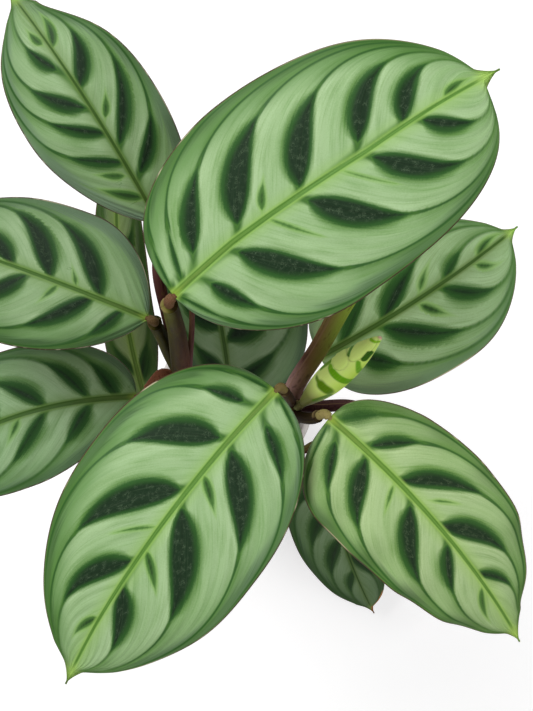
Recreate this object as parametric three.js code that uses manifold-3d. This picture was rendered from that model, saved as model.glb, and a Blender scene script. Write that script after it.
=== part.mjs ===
// A fishbone prayer plant with two shoots and patterned leaves, in a plain round pot.
// Millimetres, +Z up, with the origin at the centre of the pot's foot.
// Seen from above, +Y is up the picture and +X is to its right.
import * as THREE from "three";
import Module from "manifold-3d";
import { mergeVertices } from "three/addons/utils/BufferGeometryUtils.js";

const wasm = await Module();
wasm.setup();

// Pot
const potHeight = 70;
const potRimRadius = 38;
const potFootRadius = 28;
const potWall = 3;
const potFloor = 5;
const footChamfer = 1.5;
const rimRound = 1.2;
const potSides = 40;

// Soil
const soilTop = 61;
const soilDome = 2.5;
const soilRings = 5;
const soilLumps = 0.9;
const lumpSize = 3.4;
const soilMargin = 2;
const seatGap = 0.3;
const holeDepth = 22;
const holeSides = 12;

// Leaf blades
const bladeThickness = 0.8;
const ribDepth = 1.3;
const bladeRows = 24;
const bladeColumns = [-1, -0.5, -0.06, 0, 0.06, 0.5, 1];
const bodyEnd = 0.945;
const dripTipStart = 0.9;
const dripTipShare = 0.24;
const dripTipTaper = 1.6;
const attachWidth = 1.6;
const leastWidth = 0.35;
const rootCurve = 2;
const shoulderCurve = 2.5;
const veeRise = 0.08;
const marginDroop = 0.18;
const ribFade = 0.8;
const waveShift = 1.7;
const waveFade = 1.5;

// Stalks
const stalkSides = 8;
const stalkSpacing = 7;
const pulvinusLength = 5;
const pulvinusSwell = 1.12;
const collarLength = 1.2;
const squareEnd = 1.6;

// Colours
const bladeColour = 0x8fb377;
const darkBladeColour = 0x5b7f55;
const rolledColour = 0x9fc24e;
const stemLeftColour = 0x75713a;
const stemRightColour = 0x6b4a42;
const soilColour = 0x3a2c22;
const potColour = 0xe9e7e2;

// Each blade runs from base to tip. Bow is its sideways bend and arch its rise at mid length.
// Each side holds its greatest width, where along the leaf that is, and how full its root and
// its shoulder are. Waves are along the margin, as [height, count, start].
const blades = {
  leaf_top: {
    base: [-14.5, 40.4, 285], tip: [87.2, 110.1, 298], bow: 3.1, arch: 9, waves: [0.8, 3, 0.1],
    left: [37.9, 0.36, 2.85, 1.63], right: [37.6, 0.4, 2.05, 2.9],
  },
  leaf_front_left: {
    base: [18.3, 9.6, 262], tip: [-55.2, -93.3, 246], bow: -5, arch: 14, waves: [0.8, 3, 0.4],
    left: [36.3, 0.43, 2.5, 1.55], right: [35.4, 0.36, 2.5, 1.3],
  },
  leaf_front_right: {
    base: [36.5, 0.2, 256], tip: [106.2, -81.6, 232], bow: 4.4, arch: 12, waves: [1.6, 5, 0.2],
    left: [25.9, 0.47, 2.4, 0.88], right: [29, 0.22, 2.85, 1.65],
  },
  leaf_upper_left: {
    base: [-24, 69.5, 232], tip: [-76, 150, 244], bow: -2.2, arch: 8, waves: [1.2, 3, 0],
    left: [25.1, 0.48, 1.3, 1.22], right: [23.3, 0.42, 3.5, 0.87],
  },
  leaf_left: {
    base: [-26.5, 34.5, 246], tip: [-121, 68, 225], bow: -1.5, arch: 10, waves: [0.8, 3, 0.5],
    left: [27.4, 0.53, 1.5, 1.7], right: [26.7, 0.3, 1.5, 1.1],
  },
  leaf_lower_left: {
    base: [-35.5, 5.5, 195], tip: [-135, -32, 178], bow: -9.5, arch: 8, waves: [1, 3, 0.3],
    left: [28, 0.48, 1.5, 1.3], right: [25.9, 0.4, 2.4, 1.6],
  },
  leaf_right: {
    base: [35, 21, 212], tip: [107.4, 69, 222], bow: -2, arch: 8, waves: [0.8, 3, 0.2],
    left: [26, 0.43, 3.3, 1.35], right: [28.9, 0.47, 3.4, 1.38],
  },
  leaf_low_front: {
    base: [42, -30, 56], tip: [72, -115, 12], bow: -3, arch: 10, waves: [1, 3, 0.6],
    left: [17, 0.43, 2.8, 2.4], right: [24, 0.28, 2.8, 1.2],
  },
  leaf_under_middle: {
    base: [0, 5, 151], tip: [-14.5, 85.5, 195], bow: -2, arch: 9, waves: [1, 3, 0.2],
    left: [20, 0.45, 2.5, 1.5], right: [36, 0.48, 6.5, 1.5],
  },
  leaf_under_left: {
    base: [-36.5, 0, 140], tip: [-46.7, 103.9, 160], bow: 4, arch: 8, waves: [1, 3, 0.7],
    left: [11, 0.23, 2.8, 3.3], right: [11.9, 0.34, 1.4, 3.2],
  },
  leaf_under_top: {
    base: [48, 50.5, 252], tip: [77, 108, 262], bow: 1, arch: 6, waves: [0.6, 3, 0],
    left: [17, 0.42, 2.6, 1.4], right: [17, 0.42, 2.6, 1.4],
  },
  leaf_under_base: {
    base: [-10.5, 46.5, 240], tip: [14, 94, 262], bow: -1, arch: 4, waves: [0.6, 3, 0.5],
    left: [14, 0.42, 2.6, 1.4], right: [14.5, 0.42, 2.6, 1.4],
  },
  leaf_under_right: {
    base: [56.5, -1.5, 218], tip: [97.5, -57, 210], bow: 1, arch: 6, waves: [0.8, 3, 0.4],
    left: [17, 0.42, 2.6, 1.4], right: [17, 0.42, 2.6, 1.4],
  },
};
const darkBlades = ["leaf_low_front", "leaf_under_middle", "leaf_under_left"];

// Each stalk is a list of points, thick along its sheath and thin in its pulvinus. Its foot may
// be thicker still. A stalk that names a blade ends square against that blade's base.
const shoots = {
  stem_left: {
    foot: [-9, 0],
    stalks: [
      { via: [[-9, 0, 90], [-13, 1.5, 150], [-16.5, 8, 200]], sheath: 3.8 },
      {
        blade: "leaf_top",
        via: [[-16, 8, 196], [-16.8, 19, 215], [-16, 30, 250], [-16, 35.6, 272]],
        foot: 4.4, sheath: 2.85, pulvinus: 1.7,
      },
      {
        blade: "leaf_left",
        via: [[-16, 8, 180], [-21.4, 20.4, 201], [-23.2, 28, 222], [-24.3, 32.2, 238]],
        sheath: 2.7, pulvinus: 1.6,
      },
      {
        blade: "leaf_upper_left",
        via: [[-16, 8, 186], [-19, 24, 212], [-21.7, 37.5, 223], [-24.3, 52, 228]],
        sheath: 2.35, pulvinus: 1.8,
      },
      {
        blade: "leaf_under_base",
        via: [[-16, 8, 194], [-13.5, 20, 218], [-11.8, 32.5, 232]], foot: 1.6, sheath: 1, pulvinus: 0.9,
      },
      {
        blade: "leaf_lower_left",
        via: [[-14, 3, 165], [-19, 10, 181], [-26, 14.5, 190]], sheath: 2.2, pulvinus: 1.7,
      },
      {
        blade: "leaf_under_left",
        via: [[-10.5, 0, 110], [-24, -7, 130], [-33, -9, 136]], sheath: 2.2, pulvinus: 1.7,
      },
    ],
  },
  stem_right: {
    foot: [9, -2],
    stalks: [
      { via: [[9, -2, 90], [14, -1, 150], [21, 2, 205], [24, 3.8, 236]], sheath: 3.9 },
      {
        blade: "leaf_front_left",
        via: [[24, 3.8, 232], [23.4, 6, 247], [21.6, 8.8, 257]], sheath: 1.9, pulvinus: 1.5,
      },
      {
        blade: "leaf_front_right",
        via: [[24, 2, 228], [27, -0.2, 241], [31.2, -0.3, 250]], sheath: 2.2, pulvinus: 1.6,
      },
      {
        blade: "leaf_under_top",
        via: [[23, 3, 228], [25.2, 11, 237], [33.3, 24.2, 245], [40.3, 37, 249]],
        sheath: 3.7, pulvinus: 1.9,
      },
      {
        blade: "leaf_right",
        via: [[18, 1, 180], [24, 7, 197], [29, 13.5, 206]], sheath: 2.1, pulvinus: 1.6,
      },
      {
        blade: "leaf_under_right",
        via: [[23, 3, 222], [34, 3, 225], [46, 3, 220]], sheath: 2.45, pulvinus: 1.7,
      },
      { blade: "leaf_under_middle", via: [[9.5, -2, 100], [4, -8, 128]], sheath: 2, pulvinus: 1.6 },
      {
        blade: "leaf_low_front",
        via: [[9, -2, 78], [18, -14, 90], [30, -24, 80], [39, -22, 66]], sheath: 2, pulvinus: 1.6,
      },
      { blade: "rolled_leaf", via: [[24, 3.8, 226], [25.6, 3.4, 236]], sheath: 2.2, pulvinus: 1.5 },
    ],
  },
};

// The new leaf, rolled on itself along a straight line. Root and point set how slim its ends
// are and blunt how full its tip is, and the lip of its outer edge winds round it by the twist
const rolledLeaf = {
  base: [27.8, 4.8, 243], tip: [53, 27.5, 268], radius: 5.3, widest: 0.42, root: 0.1, point: 0.96,
  blunt: 0.8, lip: 0.9, twist: 1.2, rows: 10, sides: 14,
};

const vector = (point) => new THREE.Vector3(...point);
const clamp01 = (value) => Math.min(1, Math.max(0, value));

// A closed body from its points and the triangles that join them
function body(points, triangles) {
  const geometry = new THREE.BufferGeometry();
  geometry.setFromPoints(points);
  geometry.setIndex(triangles.flat());
  return geometry;
}

// Half width of one side of a blade at the fraction u of its length
function halfWidth(u, [width, widest, root, shoulder]) {
  const towardsRoot = clamp01(1 - u / widest);
  const towardsTip = clamp01((u - widest) / (bodyEnd - widest));
  const rise = Math.pow(1 - Math.pow(towardsRoot, rootCurve), 1 / root);
  const fall = Math.pow(1 - Math.pow(towardsTip, shoulderCurve), 1 / shoulder);
  const bodyWidth = width * (u < widest ? rise : fall);
  if (u < widest) {
    return Math.max(bodyWidth, attachWidth);
  }
  const pointed = Math.pow(clamp01((1 - u) / (1 - dripTipStart)), dripTipTaper);
  return Math.max(bodyWidth, dripTipShare * width * pointed, leastWidth);
}

// Point, direction, left side and upward normal of a blade's midrib
function midribFrame(blade, u) {
  const base = vector(blade.base);
  const tip = vector(blade.tip);
  const up = new THREE.Vector3(0, 0, 1);
  const across = up.clone().cross(tip.clone().sub(base)).normalize();
  const middle = base.clone().lerp(tip, 0.5).addScaledVector(across, 2 * blade.bow);
  middle.z += 2 * blade.arch;
  const curve = new THREE.QuadraticBezierCurve3(base, middle, tip);
  const along = curve.getTangent(u);
  const left = up.clone().cross(along).normalize();
  return { point: curve.getPoint(u), along, left, normal: along.clone().cross(left) };
}

// Point of a blade's mid surface, with v from -1 at the right margin to 1 at the left
function bladePoint(blade, u, v) {
  const { point, left, normal } = midribFrame(blade, u);
  const width = halfWidth(u, v < 0 ? blade.right : blade.left);
  const greatest = Math.max(blade.left[0], blade.right[0]);
  const [waveHeight, waveCount, waveStart] = blade.waves;
  const out = Math.abs(v);
  const wavePhase = 2 * Math.PI * (waveCount * u + waveStart) + (v < 0 ? waveShift : 0);
  const wave = waveHeight * Math.pow(out, 3) * Math.sin(wavePhase) * clamp01((waveFade * width) / greatest);
  const lift = width * (veeRise * out - marginDroop * out * out) + wave;
  return point.addScaledVector(left, v * width).addScaledVector(normal, lift);
}

// A blade with the same triangles on both faces and a rib below its midline
function bladeGeometry(blade) {
  const rows = bladeRows + 1;
  const columns = bladeColumns.length;
  const upper = [];
  const lower = [];
  for (let row = 0; row < rows; row += 1) {
    const u = (1 - Math.cos((Math.PI * row) / bladeRows)) / 2;
    const { normal } = midribFrame(blade, u);
    for (const v of bladeColumns) {
      const middle = bladePoint(blade, u, v);
      const rib = v === 0 ? ribDepth * (1 - ribFade * u) : 0;
      upper.push(middle.clone().addScaledVector(normal, bladeThickness / 2));
      lower.push(middle.clone().addScaledVector(normal, -bladeThickness / 2 - rib));
    }
  }
  const count = upper.length;
  const triangles = [];
  for (let row = 0; row < bladeRows; row += 1) {
    for (let column = 0; column < columns - 1; column += 1) {
      const a = row * columns + column;
      const b = a + 1;
      const c = a + columns;
      const d = c + 1;
      triangles.push([a, c, b], [b, c, d]);
      triangles.push([a + count, b + count, c + count], [b + count, d + count, c + count]);
    }
  }
  const edge = [];
  for (let column = 0; column < columns; column += 1) {
    edge.push(column);
  }
  for (let row = 1; row < rows; row += 1) {
    edge.push(row * columns + columns - 1);
  }
  for (let column = columns - 2; column >= 0; column -= 1) {
    edge.push(bladeRows * columns + column);
  }
  for (let row = bladeRows - 1; row > 0; row -= 1) {
    edge.push(row * columns);
  }
  edge.forEach((from, index) => {
    const to = edge[(index + 1) % edge.length];
    triangles.push([from, to, from + count], [to, to + count, from + count]);
  });
  return body([...upper, ...lower], triangles);
}

// Triangles that close a tube of rings, all with the same number of sides
function tubeTriangles(rings, sides) {
  const triangles = [];
  for (let ring = 0; ring < rings - 1; ring += 1) {
    for (let side = 0; side < sides; side += 1) {
      const a = ring * sides + side;
      const b = ring * sides + ((side + 1) % sides);
      triangles.push([a, b, a + sides], [b, b + sides, a + sides]);
    }
  }
  const last = (rings - 1) * sides;
  for (let side = 1; side < sides - 1; side += 1) {
    triangles.push([0, side + 1, side], [last, last + side, last + side + 1]);
  }
  return triangles;
}

// A round stalk along a smooth path. Each ring holds where it is, from 0 to 1, and its radius
function stalkGeometry(path, rings) {
  const points = [];
  const spoke = new THREE.Vector3(1, 0.1, 0);
  for (const [where, radius] of rings) {
    const centre = path.getPointAt(where);
    const along = path.getTangentAt(where);
    spoke.addScaledVector(along, -spoke.dot(along)).normalize();
    for (let side = 0; side < stalkSides; side += 1) {
      const arm = spoke.clone().applyAxisAngle(along, (2 * Math.PI * side) / stalkSides);
      points.push(centre.clone().addScaledVector(arm, radius));
    }
  }
  return body(points, tubeTriangles(rings.length, stalkSides));
}

function toSolid(geometry) {
  const bare = geometry.clone();
  bare.deleteAttribute("normal");
  bare.deleteAttribute("uv");
  const merged = mergeVertices(bare);
  return new wasm.Manifold(new wasm.Mesh({
    numProp: 3,
    vertProperties: new Float32Array(merged.attributes.position.array),
    triVerts: new Uint32Array(merged.index.array),
  }));
}

function fromSolid(solid) {
  const mesh = solid.getMesh();
  const geometry = new THREE.BufferGeometry();
  const positions = new Float32Array(mesh.vertProperties);
  geometry.setAttribute("position", new THREE.BufferAttribute(positions, 3));
  geometry.setIndex(new THREE.BufferAttribute(new Uint32Array(mesh.triVerts), 1));
  return geometry;
}

// Where a stalk meets its blade: the end point and the direction it arrives in
function seatOf(name) {
  if (name === "rolled_leaf") {
    const base = vector(rolledLeaf.base);
    const along = vector(rolledLeaf.tip).sub(base).normalize();
    return { end: base.addScaledVector(along, -seatGap), along };
  }
  const { point, along } = midribFrame(blades[name], 0);
  return { end: point.addScaledVector(along, -seatGap), along };
}

function stalkOf({ blade, via, foot, sheath, pulvinus }) {
  const points = via.map(vector);
  if (blade) {
    const { end, along } = seatOf(blade);
    points.push(end.clone().addScaledVector(along, -squareEnd), end);
  }
  const path = new THREE.CatmullRomCurve3(points, false, "centripetal");
  const length = path.getLength();
  const collar = blade ? 1 - (pulvinusLength + collarLength) / length : 1;
  const steps = Math.max(2, Math.round((length * collar) / stalkSpacing));
  const rings = [];
  for (let step = 0; step <= steps; step += 1) {
    rings.push([(collar * step) / steps, THREE.MathUtils.lerp(foot ?? sheath, sheath, step / steps)]);
  }
  if (blade) {
    rings.push([1 - pulvinusLength / length, pulvinus]);
    rings.push([1 - pulvinusLength / 2 / length, pulvinus * pulvinusSwell]);
    rings.push([1, pulvinus]);
  }
  return toSolid(stalkGeometry(path, rings));
}

// A shoot is its cane, standing in the soil, with all its stalks fused to it
function shootGeometry({ foot, stalks }) {
  const [x, y] = foot;
  const buried = [x, y, soilTop + soilDome - holeDepth + 2 * seatGap];
  const cane = { ...stalks[0], via: [buried, [x, y, soilTop + soilDome], ...stalks[0].via] };
  let shoot = stalkOf(cane);
  for (const stalk of stalks.slice(1)) {
    shoot = shoot.add(stalkOf(stalk));
  }
  return fromSolid(shoot);
}

// The rolled leaf: a slim spindle whose outer edge stands proud along one line
function rolledLeafGeometry(leaf) {
  const { base, tip, radius, widest, root, point, blunt, lip, twist, rows, sides } = leaf;
  const from = vector(base);
  const to = vector(tip);
  const along = to.clone().sub(from).normalize();
  const across = new THREE.Vector3(0, 0, 1).cross(along).normalize();
  const upward = along.clone().cross(across);
  const points = [];
  for (let row = 0; row <= rows; row += 1) {
    const u = row / rows;
    const rise = Math.sin((Math.PI / 2) * ((u + root) / (widest + root)));
    const fall = Math.cos((Math.PI / 2) * point * ((u - widest) / (1 - widest)));
    const swell = u < widest ? rise : Math.pow(fall, blunt);
    for (let side = 0; side < sides; side += 1) {
      const turn = side / sides;
      const angle = 2 * Math.PI * turn + twist * u;
      const spoke = (radius - lip * turn) * swell;
      const place = from.clone().lerp(to, u).addScaledVector(across, Math.cos(angle) * spoke);
      points.push(place.addScaledVector(upward, Math.sin(angle) * spoke));
    }
  }
  return body(points, tubeTriangles(rows + 1, sides));
}

// A body turned round the Z axis from its profile of radii and heights
function lathe(profile, sides) {
  const geometry = new THREE.LatheGeometry(profile.map(([r, z]) => new THREE.Vector2(r, z)), sides);
  return geometry.rotateX(Math.PI / 2);
}

// Inner radius of the pot's wall at a height
function innerRadius(z) {
  return potFootRadius + ((potRimRadius - potFootRadius) * z) / potHeight - potWall;
}

function potGeometry() {
  const profile = [
    [0, 0],
    [potFootRadius - footChamfer, 0],
    [potFootRadius, footChamfer],
    [potRimRadius, potHeight - rimRound],
    [potRimRadius - rimRound, potHeight],
    [potRimRadius - potWall + rimRound / 2, potHeight],
    [innerRadius(potHeight - rimRound), potHeight - rimRound],
    [innerRadius(potFloor), potFloor],
    [0, potFloor],
  ];
  return lathe(profile, potSides);
}

// Soil: a filled body with a gently lumpy, domed top and plain holes for the canes
function soilGeometry(feet) {
  const bottom = potFloor + seatGap;
  const profile = [[0, bottom], [innerRadius(bottom) - seatGap, bottom]];
  for (let ring = soilRings; ring >= 0; ring -= 1) {
    const out = ring / soilRings;
    const height = soilTop + soilDome * (1 - out * out);
    profile.push([out * (innerRadius(soilTop) - seatGap), height]);
  }
  const geometry = lathe(profile, potSides / 2);
  const position = geometry.attributes.position;
  for (let index = 0; index < position.count; index += 1) {
    const x = position.getX(index);
    const y = position.getY(index);
    const z = position.getZ(index);
    const inside = Math.hypot(x, y) < innerRadius(soilTop) - soilMargin;
    if (z > soilTop && inside) {
      position.setZ(index, z + soilLumps * Math.sin(x / lumpSize + 1) * Math.cos(y / lumpSize));
    }
  }
  let soil = toSolid(geometry);
  for (const { foot, radius } of feet) {
    const length = holeDepth + 2 * soilDome;
    const holeRadius = (radius + seatGap) / Math.cos(Math.PI / holeSides);
    const hole = new THREE.CylinderGeometry(holeRadius, holeRadius, length, holeSides);
    hole.rotateX(Math.PI / 2);
    hole.translate(foot[0], foot[1], soilTop + soilDome - holeDepth + length / 2);
    soil = soil.subtract(toSolid(hole));
  }
  return fromSolid(soil);
}

const plant = new THREE.Group();

function place(name, geometry, color, roughness) {
  const mesh = new THREE.Mesh(geometry, new THREE.MeshStandardMaterial({ color, roughness, metalness: 0 }));
  mesh.name = name;
  plant.add(mesh);
}

place("pot", potGeometry(), potColour, 0.45);
const feet = Object.values(shoots).map((shoot) => ({ foot: shoot.foot, radius: shoot.stalks[0].sheath }));
place("soil", soilGeometry(feet), soilColour, 0.95);
place("stem_left", shootGeometry(shoots.stem_left), stemLeftColour, 0.6);
place("stem_right", shootGeometry(shoots.stem_right), stemRightColour, 0.6);
place("rolled_leaf", rolledLeafGeometry(rolledLeaf), rolledColour, 0.5);
for (const [name, blade] of Object.entries(blades)) {
  const color = darkBlades.includes(name) ? darkBladeColour : bladeColour;
  place(name, bladeGeometry(blade), color, 0.5);
}

export default plant;
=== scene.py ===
# A fishbone prayer plant with two shoots, in a plain pot, seen straight from above
import math

import bpy
import numpy as np
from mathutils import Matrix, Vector


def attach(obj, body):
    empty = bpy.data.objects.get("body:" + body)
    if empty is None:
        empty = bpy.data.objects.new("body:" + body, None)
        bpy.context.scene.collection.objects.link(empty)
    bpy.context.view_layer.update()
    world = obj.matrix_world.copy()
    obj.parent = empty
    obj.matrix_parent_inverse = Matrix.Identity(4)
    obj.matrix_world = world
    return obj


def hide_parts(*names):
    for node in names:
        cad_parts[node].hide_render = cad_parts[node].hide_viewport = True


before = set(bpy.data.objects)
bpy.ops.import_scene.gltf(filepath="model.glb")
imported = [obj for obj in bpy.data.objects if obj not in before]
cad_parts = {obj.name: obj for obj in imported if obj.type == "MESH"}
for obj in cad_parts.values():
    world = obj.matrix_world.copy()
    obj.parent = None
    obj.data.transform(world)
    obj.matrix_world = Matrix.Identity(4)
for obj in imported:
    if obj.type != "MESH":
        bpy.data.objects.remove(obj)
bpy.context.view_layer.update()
scene = bpy.context.scene
mm = 0.001  # the dictionaries below are in millimetres, as the solids are
print("frame loaded:", len(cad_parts), "nodes")


# a socket that plain sums and products can be written with, one node for each
class Field:
    def __init__(self, tree, socket):
        self.tree = tree
        self.socket = socket
        self.isVector = socket.type in ("VECTOR", "RGBA")

    def math(self, operation, *others):
        made = self.tree.nodes.new("ShaderNodeMath")
        made.operation = operation
        for slot, value in zip(made.inputs, (self, *others)):
            plug(self.tree, value, slot)
        return Field(self.tree, made.outputs[0])

    def vector(self, operation, *others):
        made = self.tree.nodes.new("ShaderNodeVectorMath")
        made.operation = operation
        for slot, value in zip(made.inputs, (self, *others)):
            plug(self.tree, value, slot)
        return Field(self.tree, made.outputs[0])

    def scaled(self, value):
        made = self.tree.nodes.new("ShaderNodeVectorMath")
        made.operation = "SCALE"
        plug(self.tree, self, made.inputs[0])
        plug(self.tree, value, made.inputs["Scale"])
        return Field(self.tree, made.outputs[0])

    def __add__(self, other):
        return self.vector("ADD", other) if self.isVector else self.math("ADD", other)

    def __sub__(self, other):
        return self.vector("SUBTRACT", other) if self.isVector else self.math("SUBTRACT", other)

    def __mul__(self, other):
        return self.scaled(other) if self.isVector else self.math("MULTIPLY", other)

    def __truediv__(self, other):
        return self.math("DIVIDE", other)

    def __pow__(self, other):
        return self.math("POWER", other)

    def __rsub__(self, other):
        return (self * -1) + other

    __radd__ = __add__
    __rmul__ = __mul__

    def clamped(self):
        made = self.math("ADD", 0.0)
        made.socket.node.use_clamp = True
        return made

    def parts(self):
        made = addNode(self.tree, "ShaderNodeSeparateXYZ", {0: self})
        return [Field(self.tree, made.outputs[axis]) for axis in range(3)]

    # 0 at low and 1 at high, with soft ends
    def fade(self, low, high):
        limits = {0: self, 1: low, 2: high}
        return output(self.tree, "ShaderNodeMapRange", limits, interpolation_type="SMOOTHSTEP")


def plug(tree, value, slot):
    if isinstance(value, Field):
        tree.links.new(value.socket, slot)
    else:
        slot.default_value = value


def addNode(tree, kind, given=None, **settings):
    made = tree.nodes.new(kind)
    for name, value in settings.items():
        setattr(made, name, value)
    for slot, value in (given or {}).items():
        plug(tree, value, made.inputs[slot])
    return made


def output(tree, kind, given=None, slot=0, **settings):
    return Field(tree, addNode(tree, kind, given, **settings).outputs[slot])


# a node group with its inputs as fields, and a function that ends it
def newGroup(name, kind, inputs, outputs):
    tree = bpy.data.node_groups.new(name, kind)
    for label, value in inputs.items():
        sort = {bool: "Bool", int: "Int", float: "Float", tuple: "Vector", str: value}[type(value)]
        item = tree.interface.new_socket(label, in_out="INPUT", socket_type="NodeSocket" + sort)
        if not isinstance(value, str):
            item.default_value = value
    for label, sort in outputs.items():
        tree.interface.new_socket(label, in_out="OUTPUT", socket_type="NodeSocket" + sort)
    entry = tree.nodes.new("NodeGroupInput")
    leave = tree.nodes.new("NodeGroupOutput")
    given = {label: Field(tree, entry.outputs[label]) for label in inputs}

    def finish(**results):
        for label, value in results.items():
            plug(tree, value, leave.inputs[label])
        return tree

    return tree, given, finish


# runs a geometry tree on an object and keeps the result as its plain mesh
def grow(name, tree, values, data=None):
    holder = bpy.data.objects.new(name, data or bpy.data.meshes.new(name))
    modifier = holder.modifiers.new("grow", "NODES")
    modifier.node_group = tree
    for item in tree.interface.items_tree:
        if item.item_type == "SOCKET" and item.in_out == "INPUT" and item.name in values:
            modifier[item.identifier] = values[item.name]
    scene.collection.objects.link(holder)
    seen = holder.evaluated_get(bpy.context.evaluated_depsgraph_get())
    mesh = bpy.data.meshes.new_from_object(seen)
    mesh.name = name
    bpy.data.objects.remove(holder)
    piece = bpy.data.objects.new(name, mesh)
    scene.collection.objects.link(piece)
    return piece


def dropAttributes(mesh, names):
    for name in names:
        if name in mesh.attributes:
            mesh.attributes.remove(mesh.attributes[name])


def readAttribute(mesh, name, width=1):
    kind = "value" if width == 1 else "vector"
    values = np.zeros(len(mesh.vertices) * width, np.float32)
    mesh.attributes[name].data.foreach_get(kind, values)
    return values if width == 1 else values.reshape(-1, width)


def writeAttribute(mesh, name, values):
    kind, field = ("FLOAT", "value") if values.ndim == 1 else ("FLOAT_VECTOR", "vector")
    dropAttributes(mesh, [name])
    made = mesh.attributes.new(name, kind, "POINT")
    made.data.foreach_set(field, np.ascontiguousarray(values, np.float32).ravel())


def readPoints(mesh):
    points = np.zeros(len(mesh.vertices) * 3, np.float32)
    mesh.vertices.foreach_get("co", points)
    return points.reshape(-1, 3)


def writePoints(mesh, points):
    mesh.vertices.foreach_set("co", np.ascontiguousarray(points, np.float32).ravel())
    mesh.update()


# a colour given as it looks on screen, 0 to 255, as the shader takes it
def linear(red, green, blue):
    whole = []
    for value in (red, green, blue):
        share = value / 255
        whole.append(share / 12.92 if share < 0.04045 else ((share + 0.055) / 1.055) ** 2.4)
    return (*whole, 1.0)


# the same colour as three numbers to reckon with
def toneOf(colour):
    return np.array(linear(*colour)[:3])


def newMaterial(name, roughness, **constants):
    material = bpy.data.materials.new(name)
    material.use_nodes = True
    shader = material.node_tree.nodes["Principled BSDF"]
    shader.inputs["Roughness"].default_value = roughness
    for label, value in constants.items():
        shader.inputs[label.replace("_", " ")].default_value = value
    return material, material.node_tree, shader


def blend(tree, amount, first, second):
    return output(tree, "ShaderNodeMix", {0: amount, 6: first, 7: second}, slot=2, data_type="RGBA")


def noise(tree, place, scale, detail=2.0, roughness=0.5):
    given = {"Vector": place, "Scale": scale, "Detail": detail, "Roughness": roughness}
    return output(tree, "ShaderNodeTexNoise", given)


def pointAt(tree, x, y, z):
    return output(tree, "ShaderNodeCombineXYZ", {0: x, 1: y, 2: z})


def attribute(tree, name, slot=2):
    return output(tree, "ShaderNodeAttribute", slot=slot, attribute_name=name)


def objectPlace(tree):
    return output(tree, "ShaderNodeTexCoord", slot=3)


def placeGroup(tree, group, given):
    made = addNode(tree, "ShaderNodeGroup", node_tree=group)
    for label, value in given.items():
        plug(tree, value, made.inputs[label])
    return {item.name: Field(tree, item) for item in made.outputs}


# what every skin ends with: its colour, its roughness and a relief that is so many mm deep
def finishSkin(tree, shader, colour, rough, relief, strength, depth):
    bump = output(tree, "ShaderNodeBump", {"Strength": strength, "Distance": depth * mm, "Height": relief})
    for label, field in (("Base Color", colour), ("Roughness", rough), ("Normal", bump)):
        plug(tree, field, shader.inputs[label])


def stored(tree, geometry, name, value):
    given = {0: geometry, "Name": name, "Value": value}
    sort = "FLOAT_VECTOR" if value.isVector else "FLOAT"
    return output(tree, "GeometryNodeStoreNamedAttribute", given, data_type=sort, domain="POINT")


def named(tree, name):
    return output(tree, "GeometryNodeInputNamedAttribute", {"Name": name}, data_type="FLOAT")


def gathered(tree, geometries):
    joined = addNode(tree, "GeometryNodeJoinGeometry")
    for geometry in geometries:
        tree.links.new(geometry.socket, joined.inputs[0])
    return Field(tree, joined.outputs[0])


# fine light and dark lines that run with the veins
def veinStreaks():
    tree, given, finish = newGroup(
        "vein streaks", "ShaderNodeTree",
        {"Place": "Vector", "Across": 1.0, "Along": 0.05},
        {"Streaks": "Float", "Bands": "Float"},
    )
    across, along, side = given["Place"].parts()
    across = across * given["Across"]
    along = along * given["Along"]
    fine = pointAt(tree, across, along, side)
    broad = pointAt(tree, across * 0.22, along, side)
    return finish(Streaks=noise(tree, fine, 1.0, 3.0, 0.6), Bands=noise(tree, broad, 1.0, 1.0))


# pale silky strands that lie roughly along the veins, in clumps; the place is in mm
def silkyHairs():
    tree, given, finish = newGroup(
        "silky hairs", "ShaderNodeTree", {"Place": "Vector", "Size": 1.0, "Amount": 0.5}, {"Hairs": "Float"},
    )
    across, along, side = given["Place"].parts()
    curl = noise(tree, given["Place"], 0.9) - 0.5
    strands = []
    for turn, lean in enumerate((0.55, -0.4)):
        sideways = (across + along * lean + curl * 1.6) / given["Size"]
        lengthwise = (along + curl) * 0.45 / given["Size"]
        place = pointAt(tree, sideways, lengthwise, side + turn * 5.0)
        ridge = (noise(tree, place, 1.6, 2.0, 0.7) - 0.5).math("ABSOLUTE")
        strands.append(ridge.fade(given["Amount"] * 0.06, 0.0))
    clumps = noise(tree, given["Place"], 0.45).fade(0.45, 0.66)
    return finish(Hairs=strands[0].math("MAXIMUM", strands[1]) * (clumps * 0.9 + 0.1))


# the close grain of a leaf's skin or a glaze
def fineGrain():
    tree, given, finish = newGroup(
        "fine grain", "ShaderNodeTree",
        {"Place": "Vector", "Size": 0.5},
        {"Grain": "Float", "Patches": "Float"},
    )
    scale = (given["Size"] * mm) ** -1.0
    return finish(Grain=noise(tree, given["Place"], scale), Patches=noise(tree, given["Place"], 60.0))


# the piece takes the place of a solid: it hangs from the root body, and the solid is hidden
def handOver(piece, node):
    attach(piece, "root")
    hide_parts(node)


streakGroup = veinStreaks()
hairGroup = silkyHairs()
grainGroup = fineGrain()
print("shared shader groups built")


# the marks of a blade that the others hide, narrower on a smaller one
def hiddenMarks(narrower=0.0):
    sides = {
        "leftMarks": [
            (0.12, 0.05, 0.28, 0.70, 5.0), (0.36, 0.05, 0.56, 0.70, 6.0), (0.60, 0.05, 0.76, 0.55, 5.0),
        ],
        "rightMarks": [
            (0.10, 0.05, 0.24, 0.70, 5.0), (0.28, 0.05, 0.48, 0.70, 6.0), (0.50, 0.05, 0.70, 0.60, 5.5),
        ],
    }
    return {side: [(*mark[:4], mark[4] - narrower) for mark in marks] for side, marks in sides.items()}
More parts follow.
